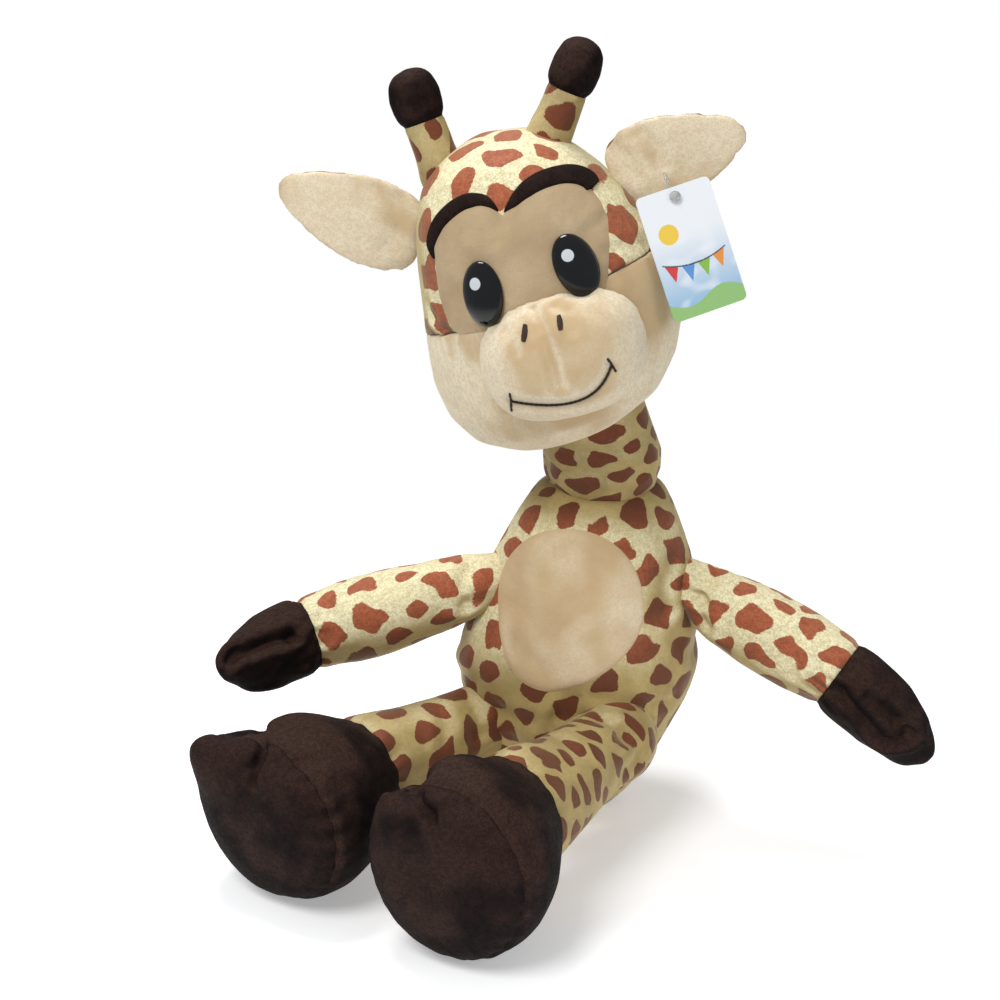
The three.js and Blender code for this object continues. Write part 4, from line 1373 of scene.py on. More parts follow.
@dataclass
class SewnPatch:
    """A thin skin on a stuffed form: a disc of rings laid on the surface within an outline."""

    name: str
    outline: Callable[[float], tuple[float, float]]
    centre: tuple[float, float]
    low: float
    high: float
    sides: int = 112
    rings: int = 26

    def build(self, carrier: bpy.types.Object, place: Matrix) -> bpy.types.Object:
        """Lays the patch on its carrier, seen from the front of a frame.

        Args:
            carrier: The stuffed form under it.
            place: The frame that the outline is in, whose -Y is the front.

        Returns:
            The patch.
        """
        Bench.clear()
        bpy.ops.mesh.primitive_circle_add(vertices=self.sides, radius=1, fill_type="NGON")
        made = bpy.context.object
        made.name = made.data.name = self.name
        Bench.pick(made)
        bpy.ops.object.mode_set(mode="EDIT")
        bpy.ops.mesh.select_all(action="SELECT")
        for _ in range(self.rings):
            bpy.ops.mesh.inset(thickness=0.93 / self.rings, use_even_offset=False)
        bpy.ops.mesh.poke()
        bpy.ops.object.mode_set(mode="OBJECT")
        tree = self.tree_of(carrier)
        into = place.to_3x3() @ Vector((0, 1, 0))
        skin = Skin(made)
        placed = []
        for point in skin.points:
            share = min(math.hypot(point[0], point[1]), 1.0)
            rim = self.outline(math.atan2(point[1], point[0]))
            across = self.centre[0] + (rim[0] - self.centre[0]) * share
            up = self.centre[1] + (rim[1] - self.centre[1]) * share
            start = place @ Vector((across, -0.3, up))
            hit, normal, _, _ = tree.ray_cast(start, into)
            rise = self.high * math.sqrt(max(1 - share**10, 0)) + self.low
            placed.append(hit + normal * rise)
        skin.points = np.array(placed)
        skin.write()
        Bench.round_off(made, 2, 0.4)
        Bench.modify(made, "SOLIDIFY", thickness=self.high * 0.9, offset=-1.0)
        self.face_out(made, -into)
        return made

    @staticmethod
    def tree_of(carrier: bpy.types.Object) -> BVHTree:
        """A search tree of a mesh.

        Args:
            carrier: The object.

        Returns:
            The tree.
        """
        return BVHTree.FromObject(carrier, bpy.context.evaluated_depsgraph_get())

    @staticmethod
    def face_out(made: bpy.types.Object, out: Vector) -> None:
        """Makes a closed skin's faces point outwards.

        Args:
            made: The object.
            out: The way its front looks; not used.
        """
        shape = bmesh.new()
        shape.from_mesh(made.data)
        bmesh.ops.recalc_face_normals(shape, faces=shape.faces)
        if shape.calc_volume(signed=True) < 0:
            bmesh.ops.reverse_faces(shape, faces=shape.faces)
        shape.to_mesh(made.data)
        shape.free()


@dataclass
class Limbs:
    """The arms with their mitten hooves and the legs with their cloven feet."""

    wardrobe: Wardrobe
    sight: Sight

    def build(self) -> None:
        """Makes both pairs."""
        for number, side in enumerate(Side):
            self.build_arm(side, number)
            self.build_leg(side, number)

    def build_arm(self, side: Side, seed: int) -> None:
        """One stuffed arm, parted at the wrist into its sleeve and its hoof.

        Args:
            side: The toy's side.
            seed: Sets one side's folds apart from the other's.
        """
        joint = Joint.named(f"shoulder_{side.word}")
        sleeve, hand = f"arm_{side.word}", f"hand_{side.word}"
        way = (middle(sleeve) - joint.pivot).normalized()
        wrist = Seam.between(sleeve, hand)
        pad = Pad(f"{sleeve}_whole", (sleeve, hand), Slot.SPOTTED, voxel=0.0025, relax=6, cap=0.0022)
        whole = pad.stuff(lambda p: wrist.near(p, 0.0035))
        skin = Skin(whole)
        skin.uneven(0.0013, 0.028, 7.0 + seed)
        skin.gather(joint.pivot + way * 0.016, way, 0.012, 0.0026, 7, 2.0 + seed)
        skin.gather(wrist.centre, wrist.way, 0.012, 0.0013, 13, 1.0 + seed)
        skin.ring(wrist.centre, wrist.way, 0.0011, 0.0022)
        for path, depth, width in self.arm_folds(side):
            skin.fold(self.sight.trace(whole, *path), depth, width)
        self.finish_arm(side, seed, whole, joint, way, wrist)

    @staticmethod
    def arm_folds(side: Side) -> tuple[tuple[tuple[tuple[float, float], ...], float, float], ...]:
        """The folds that show on an arm: each one's places in the front view, depth and width.

        Args:
            side: The toy's side.

        Returns:
            The folds.
        """
        if side is Side.RIGHT:
            return (
                (((292, 636), (262, 645), (232, 658)), 0.0042, 0.0034),
                (((290, 640), (300, 652), (306, 664)), 0.0014, 0.003),
                (((236, 652), (228, 662), (226, 672)), 0.0018, 0.0028),
                (((470, 562), (462, 585), (466, 604)), 0.0022, 0.0042),
                (((446, 560), (440, 584), (446, 606)), 0.001, 0.004),
                (((330, 604), (334, 622), (330, 640)), 0.0009, 0.003),
            )
        return (
            (((842, 693), (862, 716), (884, 742), (904, 738)), 0.0042, 0.0034),
            (((868, 700), (892, 716), (916, 736)), 0.0022, 0.0032),
            (((834, 690), (846, 672), (856, 664)), 0.0012, 0.003),
            (((712, 574), (702, 600), (706, 626)), 0.0024, 0.0042),
            (((738, 588), (726, 610), (722, 634)), 0.0012, 0.004),
            (((806, 628), (794, 650), (792, 674)), 0.0009, 0.003),
        )

    def finish_arm(self, side: Side, seed: int, whole: bpy.types.Object, joint: "Joint", way: Vector, wrist: Seam) -> None:
        """Parts an arm at the wrist and dresses its two pieces.

        Args:
            side: The toy's side.
            seed: Sets one side apart from the other.
            whole: The whole arm.
            joint: The shoulder.
            way: The way the arm runs.
            wrist: The seam.
        """
        turn = cloth_frame(way)
        made = wrist.part(whole, f"arm_{side.word}_plush", False)
        dress(made, self.wardrobe.spotted, (f"arm_{side.word}",))
        mark_cloth(made, turn, (0.9, 0.9, 1.15), 1.3 + seed)
        SpotPrint(spacing=0.0166, gap=0.005, seed=14 + seed, stretch=1.15).mark(made, turn)
        Nap(way=(-0.1, -0.35, 0.9), start=-0.15, full=0.5, least=0.05).mark(made, 1.0 + seed)
        joint.sew(made, way, -0.004, 0.02)
        hoof = wrist.part(whole, f"hand_{side.word}_plush", True)
        dress(hoof, self.wardrobe.brown, (f"hand_{side.word}",))
        mark_cloth(hoof, turn, (1, 1, 1.4), 0.5 + seed)
        Nap(most=0.5, patchy=1.0, start=0.3).mark(hoof, 4.0 + seed)
        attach(hoof, joint.child)
        Bench.discard(whole)

    def build_leg(self, side: Side, seed: int) -> None:
        """One stuffed leg, parted at the ankle and round the sole.

        Args:
            side: The toy's side.
            seed: Sets one side's folds apart from the other's.
        """
        joint = Joint.named(f"hip_{side.word}")
        leg, foot, sole = (f"{word}_{side.word}" for word in ("leg", "foot", "sole"))
        way = (middle(foot) - joint.pivot).normalized()
        ankle, welt = Seam.between(leg, foot), Seam.between(foot, sole)
        pad = Pad(f"{leg}_whole", (leg, foot, sole), Slot.SPOTTED, voxel=0.0032, relax=8, cap=0.0032, hulls=(foot, sole))
        whole = pad.stuff(lambda p: ankle.near(p, 0.0035) | (p[:, 2] < 0.004))
        skin = Skin(whole)
        skin.uneven(0.0014, 0.034, 13.0 + seed)
        skin.gather(joint.pivot + way * 0.022, way, 0.012, 0.0028, 8, 5.0 + seed)
        skin.gather(ankle.centre, ankle.way, 0.013, 0.0015, 14, 3.0 + seed)
        skin.ring(ankle.centre, ankle.way, 0.0013, 0.0026)
        self.part_toes(skin, side)
        skin.gather(welt.centre, welt.way, 0.006, 0.0008, 26, 6.0 + seed)
        skin.ring(welt.centre, welt.way, 0.0009, 0.0022)
        for path, depth, width in self.leg_folds(side):
            skin.fold(self.sight.trace(whole, *path), depth, width)
        skin.keep_above(0.0)
        self.finish_leg(side, seed, whole, joint, way, (ankle, welt))

    @staticmethod
    def leg_folds(side: Side) -> tuple[tuple[tuple[tuple[float, float], ...], float, float], ...]:
        """The folds that show on a leg: each one's places in the front view, depth and width.

        Args:
            side: The toy's side.

        Returns:
            The folds.
        """
        if side is Side.RIGHT:
            return (
                (((264, 760), (248, 768), (230, 780)), 0.0018, 0.0042),
                (((262, 764), (254, 784), (244, 800)), 0.0012, 0.0045),
                (((268, 764), (290, 768), (312, 762)), 0.0014, 0.0045),
                (((470, 698), (478, 716), (476, 736)), 0.0018, 0.005),
                (((436, 706), (446, 724), (444, 744)), 0.001, 0.004),
            )
        return (
            (((428, 812), (412, 806), (398, 796)), 0.0016, 0.004),
            (((430, 818), (414, 826), (400, 832)), 0.0012, 0.0042),
            (((436, 812), (452, 806), (472, 806)), 0.0014, 0.004),
            (((612, 724), (628, 738), (640, 748)), 0.0022, 0.005),
            (((560, 738), (574, 752), (590, 762)), 0.001, 0.004),
        )

    def part_toes(self, skin: Skin, side: Side) -> None:
        """Pinches the top of a foot between two full toes.

        Args:
            skin: The whole leg's skin.
            side: The toy's side.
        """
        sight, up = self.sight, self.sight.up
        if side is Side.RIGHT:
            skin.grab(sight.trace(skin.obj, (214, 760)), Vector((-0.009, 0, 0)) + up * 0.0015, 0.02)
            skin.grab(sight.trace(skin.obj, (204, 750)), Vector((-0.005, 0, 0)) + up * 0.003, 0.012)
            lifts = ((312, 0.002, 0.022), (246, -0.0055, 0.011), (232, -0.003, 0.012), (260, -0.008, 0.0075), (261, -0.0055, 0.005))
            above, cleft = 690, ((262, 740), (261, 747), (259, 754), (257, 762), (254, 772), (251, 782))
        else:
            lifts = (
                (505, 0.0055, 0.03),
                (468, 0.0025, 0.014),
                (382, 0.0035, 0.01),
                (402, -0.0058, 0.01),
                (414, -0.0105, 0.009),
                (418, -0.008, 0.0065),
                (420, -0.006, 0.0055),
            )
            above, cleft = 730, ((418, 796), (420, 801), (423, 806), (426, 811), (429, 817), (432, 824))
        for across, lift, reach in lifts:
            skin.grab(sight.crest(skin.obj, across, above), up * lift, reach)
        notch = sight.crest(skin.obj, lifts[-1][0], above)
        behind = [point + Vector((0, 0.016, -0.002)) for point in notch]
        skin.crease([*behind, *notch, *sight.trace(skin.obj, *cleft)], 0.0045, 0.0034)

    def finish_leg(self, side: Side, seed: int, whole: bpy.types.Object, joint: "Joint", way: Vector, seams: tuple[Seam, Seam]) -> None:
        """Parts a leg along its seams and dresses its three pieces.

        Args:
            side: The toy's side.
            seed: Sets one side apart from the other.
            whole: The whole leg.
            joint: The hip.
            way: The way the leg runs.
            seams: The ankle's seam and the one round the sole.
        """
        ankle, welt = seams
        turn = cloth_frame(way)
        made = ankle.part(whole, f"leg_{side.word}_plush", False)
        dress(made, self.wardrobe.spotted, (f"leg_{side.word}",))
        mark_cloth(made, turn, (0.85, 0.85, 1.4), 1.9 + seed)
        SpotPrint(spacing=0.0192, gap=0.005, seed=22 + seed, stretch=0.58 if side is Side.LEFT else 1.05).mark(made, turn)
        Nap(start=0.55, full=1.1, most=0.5).mark(made, 3.0 + seed)
        joint.sew(made, way, -0.004, 0.022)
        beyond = ankle.part(whole, "foot_whole", True)
        for node, second in ((f"foot_{side.word}", False), (f"sole_{side.word}", True)):
            piece = welt.part(beyond, f"{node}_plush", second)
            dress(piece, self.wardrobe.brown, (node,))
            mark_cloth(piece, turn, (1, 1, 1), 0.7 + seed)
            Nap(most=0.4 if second else 0.6, patchy=1.0, start=0.3).mark(piece, 6.0 + seed)
            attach(piece, f"leg_{side.word}")
        Bench.discard(beyond)
        Bench.discard(whole)


@dataclass(frozen=True)
class Strip:
    """A padded strip sewn on a form: a long bead laid along a line, as wide as given on the way."""

    name: str
    path: tuple[tuple[float, float], ...]
    widths: tuple[float, ...]
    rise: float = 0.0018
    sunk: float = 0.0008
    along: int = 72
    sides: int = 20

    def build(self, carrier: bpy.types.Object, place: Matrix) -> bpy.types.Object:
        """Lays the strip on its carrier, seen from the front of a frame.

        Args:
            carrier: The form under it.
            place: The frame that the line is in, whose -Y is the front.

        Returns:
            The strip.
        """
        Bench.clear()
        bpy.ops.mesh.primitive_uv_sphere_add(segments=self.sides, ring_count=self.along, radius=1)
        made = bpy.context.object
        made.name = made.data.name = self.name
        tree = SewnPatch.tree_of(carrier)
        into = place.to_3x3() @ Vector((0, 1, 0))
        line = self.evened()
        skin = Skin(made)
        placed = []
        for x, y, z in skin.points:
            share = math.acos(max(-1.0, min(1.0, -z))) / math.pi
            out = max(math.hypot(x, y), 1e-6)
            at, way = self.spot(line, share)
            half = float(np.interp(share, np.linspace(0, 1, len(self.widths)), self.widths)) / 2
            half *= min(1.0, math.sqrt(max(0.0, 1 - (1 - min(share, 1 - share) / 0.03) ** 2)) if min(share, 1 - share) < 0.03 else 1.0)
            side = at + Vector((-way.y, way.x)) * half * (x / out)
            hit, normal, _, _ = tree.ray_cast(place @ Vector((side.x, -0.3, side.y)), into)
            lift = math.copysign(abs(y / out) ** 0.5, -y)
            full = min(1.0, half / (max(self.widths) * 0.3))
            placed.append(hit + normal * (lift * self.rise * full if lift > 0 else lift * self.sunk))
        skin.points = np.array(placed)
        skin.write()
        SewnPatch.face_out(made, -into)
        return made

    def evened(self) -> list[Vector]:
        """The line as many points, evenly apart.

        Returns:
            The points.
        """
        given = np.array(self.path)
        fine = []
        for number in range(len(given) - 1):
            a, b = given[max(number - 1, 0)], given[number]
            c, d = given[number + 1], given[min(number + 2, len(given) - 1)]
            for t in np.linspace(0, 1, 12, endpoint=False):
                fine.append(0.5 * (2 * b + (c - a) * t + (2 * a - 5 * b + 4 * c - d) * t * t + (3 * b - a - 3 * c + d) * t**3))
        fine.append(given[-1])
        fine = np.array(fine)
        steps = np.concatenate([[0], np.cumsum(np.linalg.norm(np.diff(fine, axis=0), axis=1))])
        evenly = np.linspace(0, steps[-1], 121)
        return [Vector((float(np.interp(s, steps, fine[:, 0])), float(np.interp(s, steps, fine[:, 1])))) for s in evenly]

    @staticmethod
    def spot(line: list[Vector], share: float) -> tuple[Vector, Vector]:
        """A point of the line and the way it runs there.

        Args:
            line: The line's points.
            share: How far along, from 0 to 1.

        Returns:
            The point and the direction.
        """
        at = share * (len(line) - 1)
        low = min(int(at), len(line) - 2)
        point = line[low].lerp(line[low + 1], at - low)
        before, after = line[max(low - 2, 0)], line[min(low + 3, len(line) - 1)]
        return point, (after - before).normalized()


@dataclass
class Head:
    """The stuffed head with its face panel, brows, muzzle, stitches and eyes."""

    wardrobe: Wardrobe
    sight: Sight
    roll: float = -17.7
    turn: float = -6.0
    socket: Vector = field(default_factory=lambda: Vector((0, 0.016, -0.062)))
    jowl_top: float = -0.001
    jowl_back: float = 0.014
    jowl_tilt: float = 5.0
    panel_centre: tuple[float, float] = (-0.005, 0.022)
    mouth_points: tuple[tuple[float, float], ...] = ((-0.027, -0.041), (-0.0083, -0.0462), (0.012, -0.0585), (0.027, -0.036))

    def __post_init__(self) -> None:
        """Sets the head's own frame."""
        turned = Matrix.Rotation(math.radians(self.turn), 4, "Z") @ Matrix.Rotation(math.radians(self.roll), 4, "Y")
        top = Joint.named("head_nod").pivot
        self.place = Matrix.Translation(top - turned.to_3x3() @ self.socket) @ turned
        self.facing = self.place.to_3x3() @ Vector((0, -1, 0))

    def at(self, x: float, y: float, z: float) -> Vector:
        """A point of the head's own frame in the part's frame."""
        return self.place @ Vector((x, y, z))

    def build(self) -> None:
        """Makes every piece of the head."""
        whole = self.build_whole()
        self.build_cap_and_jowls(whole)
        self.build_panel(whole)
        self.build_brows(whole)
        self.build_eyes(whole)
        Bench.discard(whole)
        self.build_muzzle()

    def in_head(self, points: np.ndarray) -> np.ndarray:
        """Points of the part's frame in the head's own frame.

        Args:
            points: The points.

        Returns:
            The same points in the head's frame.
        """
        back = np.array(self.place.inverted())
        return points @ back[:3, :3].T + back[:3, 3]

    def build_whole(self) -> bpy.types.Object:
        """The whole head before it is parted along its seams.

        Returns:
            The head's form.
        """
        pad = Pad("whole_head", ("head_cap", "jowls"), Slot.SPOTTED, voxel=0.0034, relax=6, cap=0.0032, hulls=("head_cap", "jowls"))
        whole = pad.stuff()
        skin = Skin(whole)
        skin.uneven(0.001, 0.045, 23.0)
        seam = [self.at(x, -0.02, self.jowl_top + x * math.tan(math.radians(self.jowl_tilt))) for x in (-0.066, 0.058)]
        for end, inner in ((seam[0], -0.05), (seam[1], 0.037)):
            corner = self.at(inner, -0.05, self.jowl_top + inner * math.tan(math.radians(self.jowl_tilt)))
            skin.crease([end, corner], 0.0018, 0.004)
        for path, depth, width in (
            (((583, 234), (603, 219)), 0.0013, 0.0026),
            (((588, 243), (606, 232)), 0.0009, 0.0026),
            (((606, 252), (626, 246), (646, 242)), 0.0012, 0.0034),
            (((434, 318), (442, 328), (452, 332)), 0.0013, 0.0028),
            (((428, 306), (436, 318)), 0.001, 0.0028),
            (((438, 338), (441, 354)), 0.0013, 0.0034),
            (((451, 338), (455, 352)), 0.001, 0.0034),
            (((428, 338), (430, 352)), 0.0012, 0.003),
            (((626, 270), (636, 286)), 0.001, 0.0036),
            (((499, 214), (500, 226), (498, 240)), 0.0009, 0.003),
        ):
            skin.fold(self.sight.trace(whole, *path), depth, width)
        return whole

    def build_cap_and_jowls(self, whole: bpy.types.Object) -> None:
        """The spotted crown and back, and the beige cheeks and chin below the seam.

        Args:
            whole: The whole head.
        """
        reach = 0.3
        turned = Matrix.Rotation(math.radians(-self.jowl_tilt), 4, "Y")
        cloth = self.place.to_3x3().inverted()
        for node, operation, gap in (("head_cap", "DIFFERENCE", 0.0001), ("jowls", "INTERSECT", -0.0001)):
            Bench.clear()
            bpy.ops.mesh.primitive_cube_add(size=1)
            block = bpy.context.object
            lift = Matrix.Translation(Vector((0, self.jowl_back + gap - reach / 2, self.jowl_top + gap)))
            drop = Matrix.Translation(Vector((0, 0, -reach / 2)))
            block.matrix_world = self.place @ lift @ turned @ drop @ Matrix.Diagonal((reach, reach, reach, 1))
            made = Bench.twin(whole, f"{node}_plush")
            Bench.cut(made, block, operation)
            Bench.discard(block)
            Bench.remesh(made, 0.0019)
            Bench.round_off(made, 3)
            Bench.refine(made)
            if node == "head_cap":
                dress(made, self.wardrobe.spotted, (node,))
                mark_cloth(made, cloth, (1.25, 1.25, 1.25), 0.05)
                SpotPrint(spacing=0.021, gap=0.0056, seed=6, stretch=1.22).mark(made, cloth)
                Nap(way=(-0.1, -0.85, 0.5), start=0.1, full=0.62, patchy=0.3).mark(made, 0.9)
            else:
                dress(made, self.wardrobe.beige, (node,))
                mark_cloth(made, cloth, (1, 1, 2.4), 0.6)
                # Painted sheen on the jowls' rims, where they turn away from the front
                Nap(way=(0.2, -0.95, 0.25), start=0.9, full=0.35, most=0.95, patchy=0.7).mark(made, 8.0)
            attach(made, "head")

    @property
    def brow_lines(self) -> dict[Side, tuple[tuple[tuple[float, float], ...], tuple[float, ...]]]:
        """Each brow's line in the head's frame and its width on the way, from the toy's right."""
        right = ((-47.6, 33.4), (-46.9, 41.0), (-40.0, 49.4), (-31.0, 54.7), (-22.5, 57.0), (-14.9, 56.2), (-10.2, 53.2), (-7.2, 48.4))
        left = ((-4.6, 47.4), (-0.2, 49.9), (7.8, 54.0), (16.7, 55.8), (26.4, 54.8), (33.0, 51.8), (37.4, 47.4), (38.6, 43.6))
        return {
            Side.RIGHT: (tuple((x / 1000, z / 1000) for x, z in right), (0.0012, 0.0054, 0.0068, 0.0072, 0.0074, 0.0072, 0.0052, 0.001)),
            Side.LEFT: (tuple((x / 1000, z / 1000) for x, z in left), (0.001, 0.0058, 0.0082, 0.0088, 0.0086, 0.0082, 0.0076, 0.0068)),
        }

    def panel_outline(self) -> Callable[[float], tuple[float, float]]:
        """The face panel's rim as a function of the turn about its middle.

        Returns:
            The function.
        """
        lines = self.brow_lines
        top = [*lines[Side.RIGHT][0], (-0.0058, 0.0462), *lines[Side.LEFT][0]]
        right = [(0.0415, 0.0365), (0.0428, 0.0285), (0.0403, 0.0155), (0.0352, 0.0015), (0.0325, -0.0045)]
        left = [(-0.0462, -0.0062), (-0.0498, -0.001), (-0.0512, 0.006), (-0.0512, 0.016), (-0.0498, 0.0245)]
        rim = [Vector(point) for point in top + right + [(0.012, -0.006), (-0.02, -0.007)] + left]
        centre = Vector(self.panel_centre)
        close = []
        for here, beyond in zip(rim, rim[1:] + rim[:1]):
            close += [here.lerp(beyond, t) for t in np.linspace(0, 1, 8, endpoint=False)]
        turns = np.array([math.atan2(p.y - centre.y, p.x - centre.x) for p in close])
        spans = np.array([(p - centre).length for p in close])
        order = np.argsort(turns)
        turns, spans = turns[order], spans[order]

        def outline(turn: float) -> tuple[float, float]:
            """A point of the rim from its turn."""
            span = float(np.interp(turn, turns, spans, period=2 * math.pi))
            return centre.x + span * math.cos(turn), centre.y + span * math.sin(turn)

        return outline

    def build_panel(self, whole: bpy.types.Object) -> None:
        """The beige two-lobed panel round the eyes.

        Args:
            whole: The whole head.
        """
        patch = SewnPatch("face_mask_plush", self.panel_outline(), self.panel_centre, -0.0002, 0.0014, sides=180)
        made = patch.build(whole, self.place)
        dress(made, self.wardrobe.face, ("face_mask",))
        mark_cloth(made, self.place.to_3x3().inverted(), (1, 1, 1), 0.1)
        # Painted sheen on surfaces that face down and forward; the rest of the panel stays darker
        Nap(way=(0, -0.5, -0.6), start=0.1, full=1.1, most=0.5, patchy=0.5).mark(made, 11.0)
        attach(made, "head")

    def build_brows(self, whole: bpy.types.Object) -> None:
        """The dark flat crescents along the top of the panel.

        Args:
            whole: The whole head.
        """
        for side, (path, widths) in self.brow_lines.items():
            made = Strip(f"brow_{side.word}_plush", path, widths).build(whole, self.place)
            dress(made, self.wardrobe.brown, (f"brow_{side.word}",))
            mark_cloth(made, self.place.to_3x3().inverted(), (1, 1, 1), 0.4 + side.value)
            Nap(most=0.15).mark(made, 12.0)
            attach(made, "head")

    def build_eyes(self, whole: bpy.types.Object) -> None:
        """The domed oval eyes, and the finish of their washers inside.

        Args:
            whole: The whole head.
        """
        dots = {Side.RIGHT: (-0.0024, 0.0068), Side.LEFT: (-0.0013, 0.0069)}
        for side in Side:
            node = f"eye_{side.word}"
            solid = Skin(frame["nodes"][node]).points
            local = self.in_head(solid)
            front = local[local[:, 1] < np.percentile(local[:, 1], 70)]
            low, high = front.min(axis=0), front.max(axis=0)
            centre = (low + high) / 2
            half_wide, half_high = (high[0] - low[0]) / 2, (high[2] - low[2]) / 2
            tree = SewnPatch.tree_of(whole)
            seat, normal, _, _ = tree.ray_cast(self.at(centre[0], -0.3, centre[2]), -self.facing)
            made = self.eye_dome(node, seat, normal, side, half_wide, half_high)
            dot_at = self.surface_point(made, self.at(centre[0] + dots[side][0], centre[1], centre[2] + dots[side][1]))
            finish = EyePlastic(f"{node}_plastic", dot_at, 0.0031).build()
            dress(made, finish, (node,))
            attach(made, "head")
            frame["nodes"][f"eye_washer_{side.word}"].data.materials[0] = self.wardrobe.washer

    def surface_point(self, made: bpy.types.Object, near: Vector) -> Vector:
        """The point of a piece straight ahead of a place, in the part's frame.

        Args:
            made: The piece.
            near: The place.

        Returns:
            The point on its surface.
        """
        tree = SewnPatch.tree_of(made)
        hit, _, _, _ = tree.ray_cast(near + self.facing * 0.2, -self.facing)
        return hit if hit is not None else near

    def eye_dome(self, name: str, seat: Vector, normal: Vector, side: Side, wide: float, high: float) -> bpy.types.Object:
        """One eye: half a flattened ball with a back.

        Args:
            name: The node's name.
            seat: Where it sits on the head.
            normal: The way it looks.
            side: The toy's side.
            wide: Half its width.
            high: Half its height.

        Returns:
            The eye.
        """
        Bench.clear()
        bpy.ops.mesh.primitive_uv_sphere_add(segments=56, ring_count=40, radius=1)
        made = bpy.context.object
        made.name = made.data.name = f"{name}_dome"
        bpy.ops.object.mode_set(mode="EDIT")
        bpy.ops.mesh.select_all(action="SELECT")
        bpy.ops.mesh.bisect(plane_co=(0, 0, 0), plane_no=(0, 1, 0), use_fill=True, clear_outer=True)
        bpy.ops.object.mode_set(mode="OBJECT")
        up = self.place.to_3x3() @ Vector((0, 0, 1))
        lean = Matrix.Rotation(math.radians(-7.5 * side.value), 3, normal)
        up = lean.inverted() @ (up - normal * up.dot(normal)).normalized()
        back = -normal
        across = back.cross(up).normalized()
        axes = Matrix((across, back, up)).transposed()
        scale = Matrix.Diagonal((wide, 0.0062, high))
        rim = seat + normal * 0.0016
        made.matrix_world = Matrix.Translation(rim) @ (axes @ scale).to_4x4()
        Bench.settle(made)
        SewnPatch.face_out(made, normal)
        Bench.modify(made, "BEVEL", width=0.0004, segments=3, limit_method="ANGLE", angle_limit=math.radians(50))
        return made

    def build_muzzle(self) -> None:
        """The padded muzzle with its middle seam, nostrils and mouth."""
        pad = Pad("muzzle_plush", ("muzzle",), Slot.BEIGE, voxel=0.0024, relax=5, cap=0.0028)
        muzzle = pad.stuff(lambda p: self.in_head(p)[:, 1] > -0.052)
        skin = Skin(muzzle)
        skin.uneven(0.0008, 0.03, 29.0)
        for path, depth, width in (
            (((534, 308), (540, 322), (547, 342), (555, 364), (561, 388)), 0.0017, 0.0026),
            (((556, 306), (566, 312), (572, 330)), 0.0008, 0.003),
            (((505, 330), (513, 340), (516, 352)), 0.0007, 0.0026),
        ):
            skin.fold(self.sight.trace(muzzle, *path), depth, width)
        mouth = self.on_muzzle(muzzle, self.smile(25))
        skin.crease(mouth, 0.002, 0.0034)
        under = self.place.to_3x3() @ Vector((0.001, 0.003, -0.011))
        skin.crease([point + under for point in mouth[3:-2]], -0.0016, 0.005)
        pad.finish(muzzle, self.wardrobe.beige)
        mark_cloth(muzzle, self.place.to_3x3().inverted(), (1, 1, 1), 0.8)
        # Painted sheen on the muzzle's rims, where it turns away from the front
        Nap(way=(-0.05, -0.95, 0.3), start=0.99, full=0.55, most=0.95, patchy=0.5).mark(muzzle, 13.0)
        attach(muzzle, "head")
        self.build_mouth(muzzle)
        self.build_nostrils(muzzle)

    def smile(self, count: int) -> list[tuple[float, float]]:
        """Places along the mouth, from the toy's right to its left.

        Args:
            count: How many.

        Returns:
            Each place across and up in the head's frame.
        """
        places = [np.array(point) for point in self.mouth_points]
        weights = [[(1 - t) ** 3, 3 * t * (1 - t) ** 2, 3 * t * t * (1 - t), t**3] for t in np.linspace(0, 1, count)]
        return [tuple(sum(weight * place for weight, place in zip(row, places))) for row in weights]

    def on_muzzle(self, muzzle: bpy.types.Object, places: Sequence[tuple[float, float]]) -> list[Vector]:
        """The points of the muzzle's front at places across and up.

        Args:
            muzzle: The muzzle.
            places: The places in the head's frame.

        Returns:
            Points on the surface.
        """
        tree = SewnPatch.tree_of(muzzle)
        return [tree.ray_cast(self.at(x, -0.3, z), -self.facing)[0] for x, z in places]

    @staticmethod
    def tube(name: str, path: Sequence[Vector], radii: Sequence[float], sides: int) -> bpy.types.Object:
        """A closed round tube along points, with a radius at each.

        Args:
            name: The object's name.
            path: The points.
            radii: The radius at each point.
            sides: Points round the tube.

        Returns:
            The tube as a mesh.
        """
        curve = bpy.data.curves.new(name, "CURVE")
        curve.dimensions = "3D"
        curve.bevel_depth = 1.0
        curve.bevel_resolution = max((sides - 4) // 2, 0)
        curve.use_fill_caps = True
        spline = curve.splines.new("POLY")
        spline.points.add(len(path) - 1)
        for point, where, radius in zip(spline.points, path, radii):
            point.co = (*where, 1)
            point.radius = radius
        made = bpy.data.objects.new(name, curve)
        bpy.context.scene.collection.objects.link(made)
        Bench.pick(made)
        bpy.ops.object.convert(target="MESH")
        SewnPatch.face_out(made, Vector((0, 0, 1)))
        return made

    def lay_thread(self, name: str, carrier: bpy.types.Object, path: Sequence[tuple[float, float]], radius: float) -> bpy.types.Object:
        """A thread laid on the muzzle along places across and up.

        Args:
            name: The object's name.
            carrier: The muzzle.
            path: The places in the head's frame.
            radius: The thread's radius.

        Returns:
            The thread.
        """
        tree = SewnPatch.tree_of(carrier)
        points, radii = [], []
        for number, (x, z) in enumerate(path):
            hit, normal, _, _ = tree.ray_cast(self.at(x, -0.3, z), -self.facing)
            points.append(hit + normal * radius * 0.35)
            radii.append(radius * (1 + 0.12 * math.sin(number * 1.9)))
        return self.tube(name, points, radii, 8)

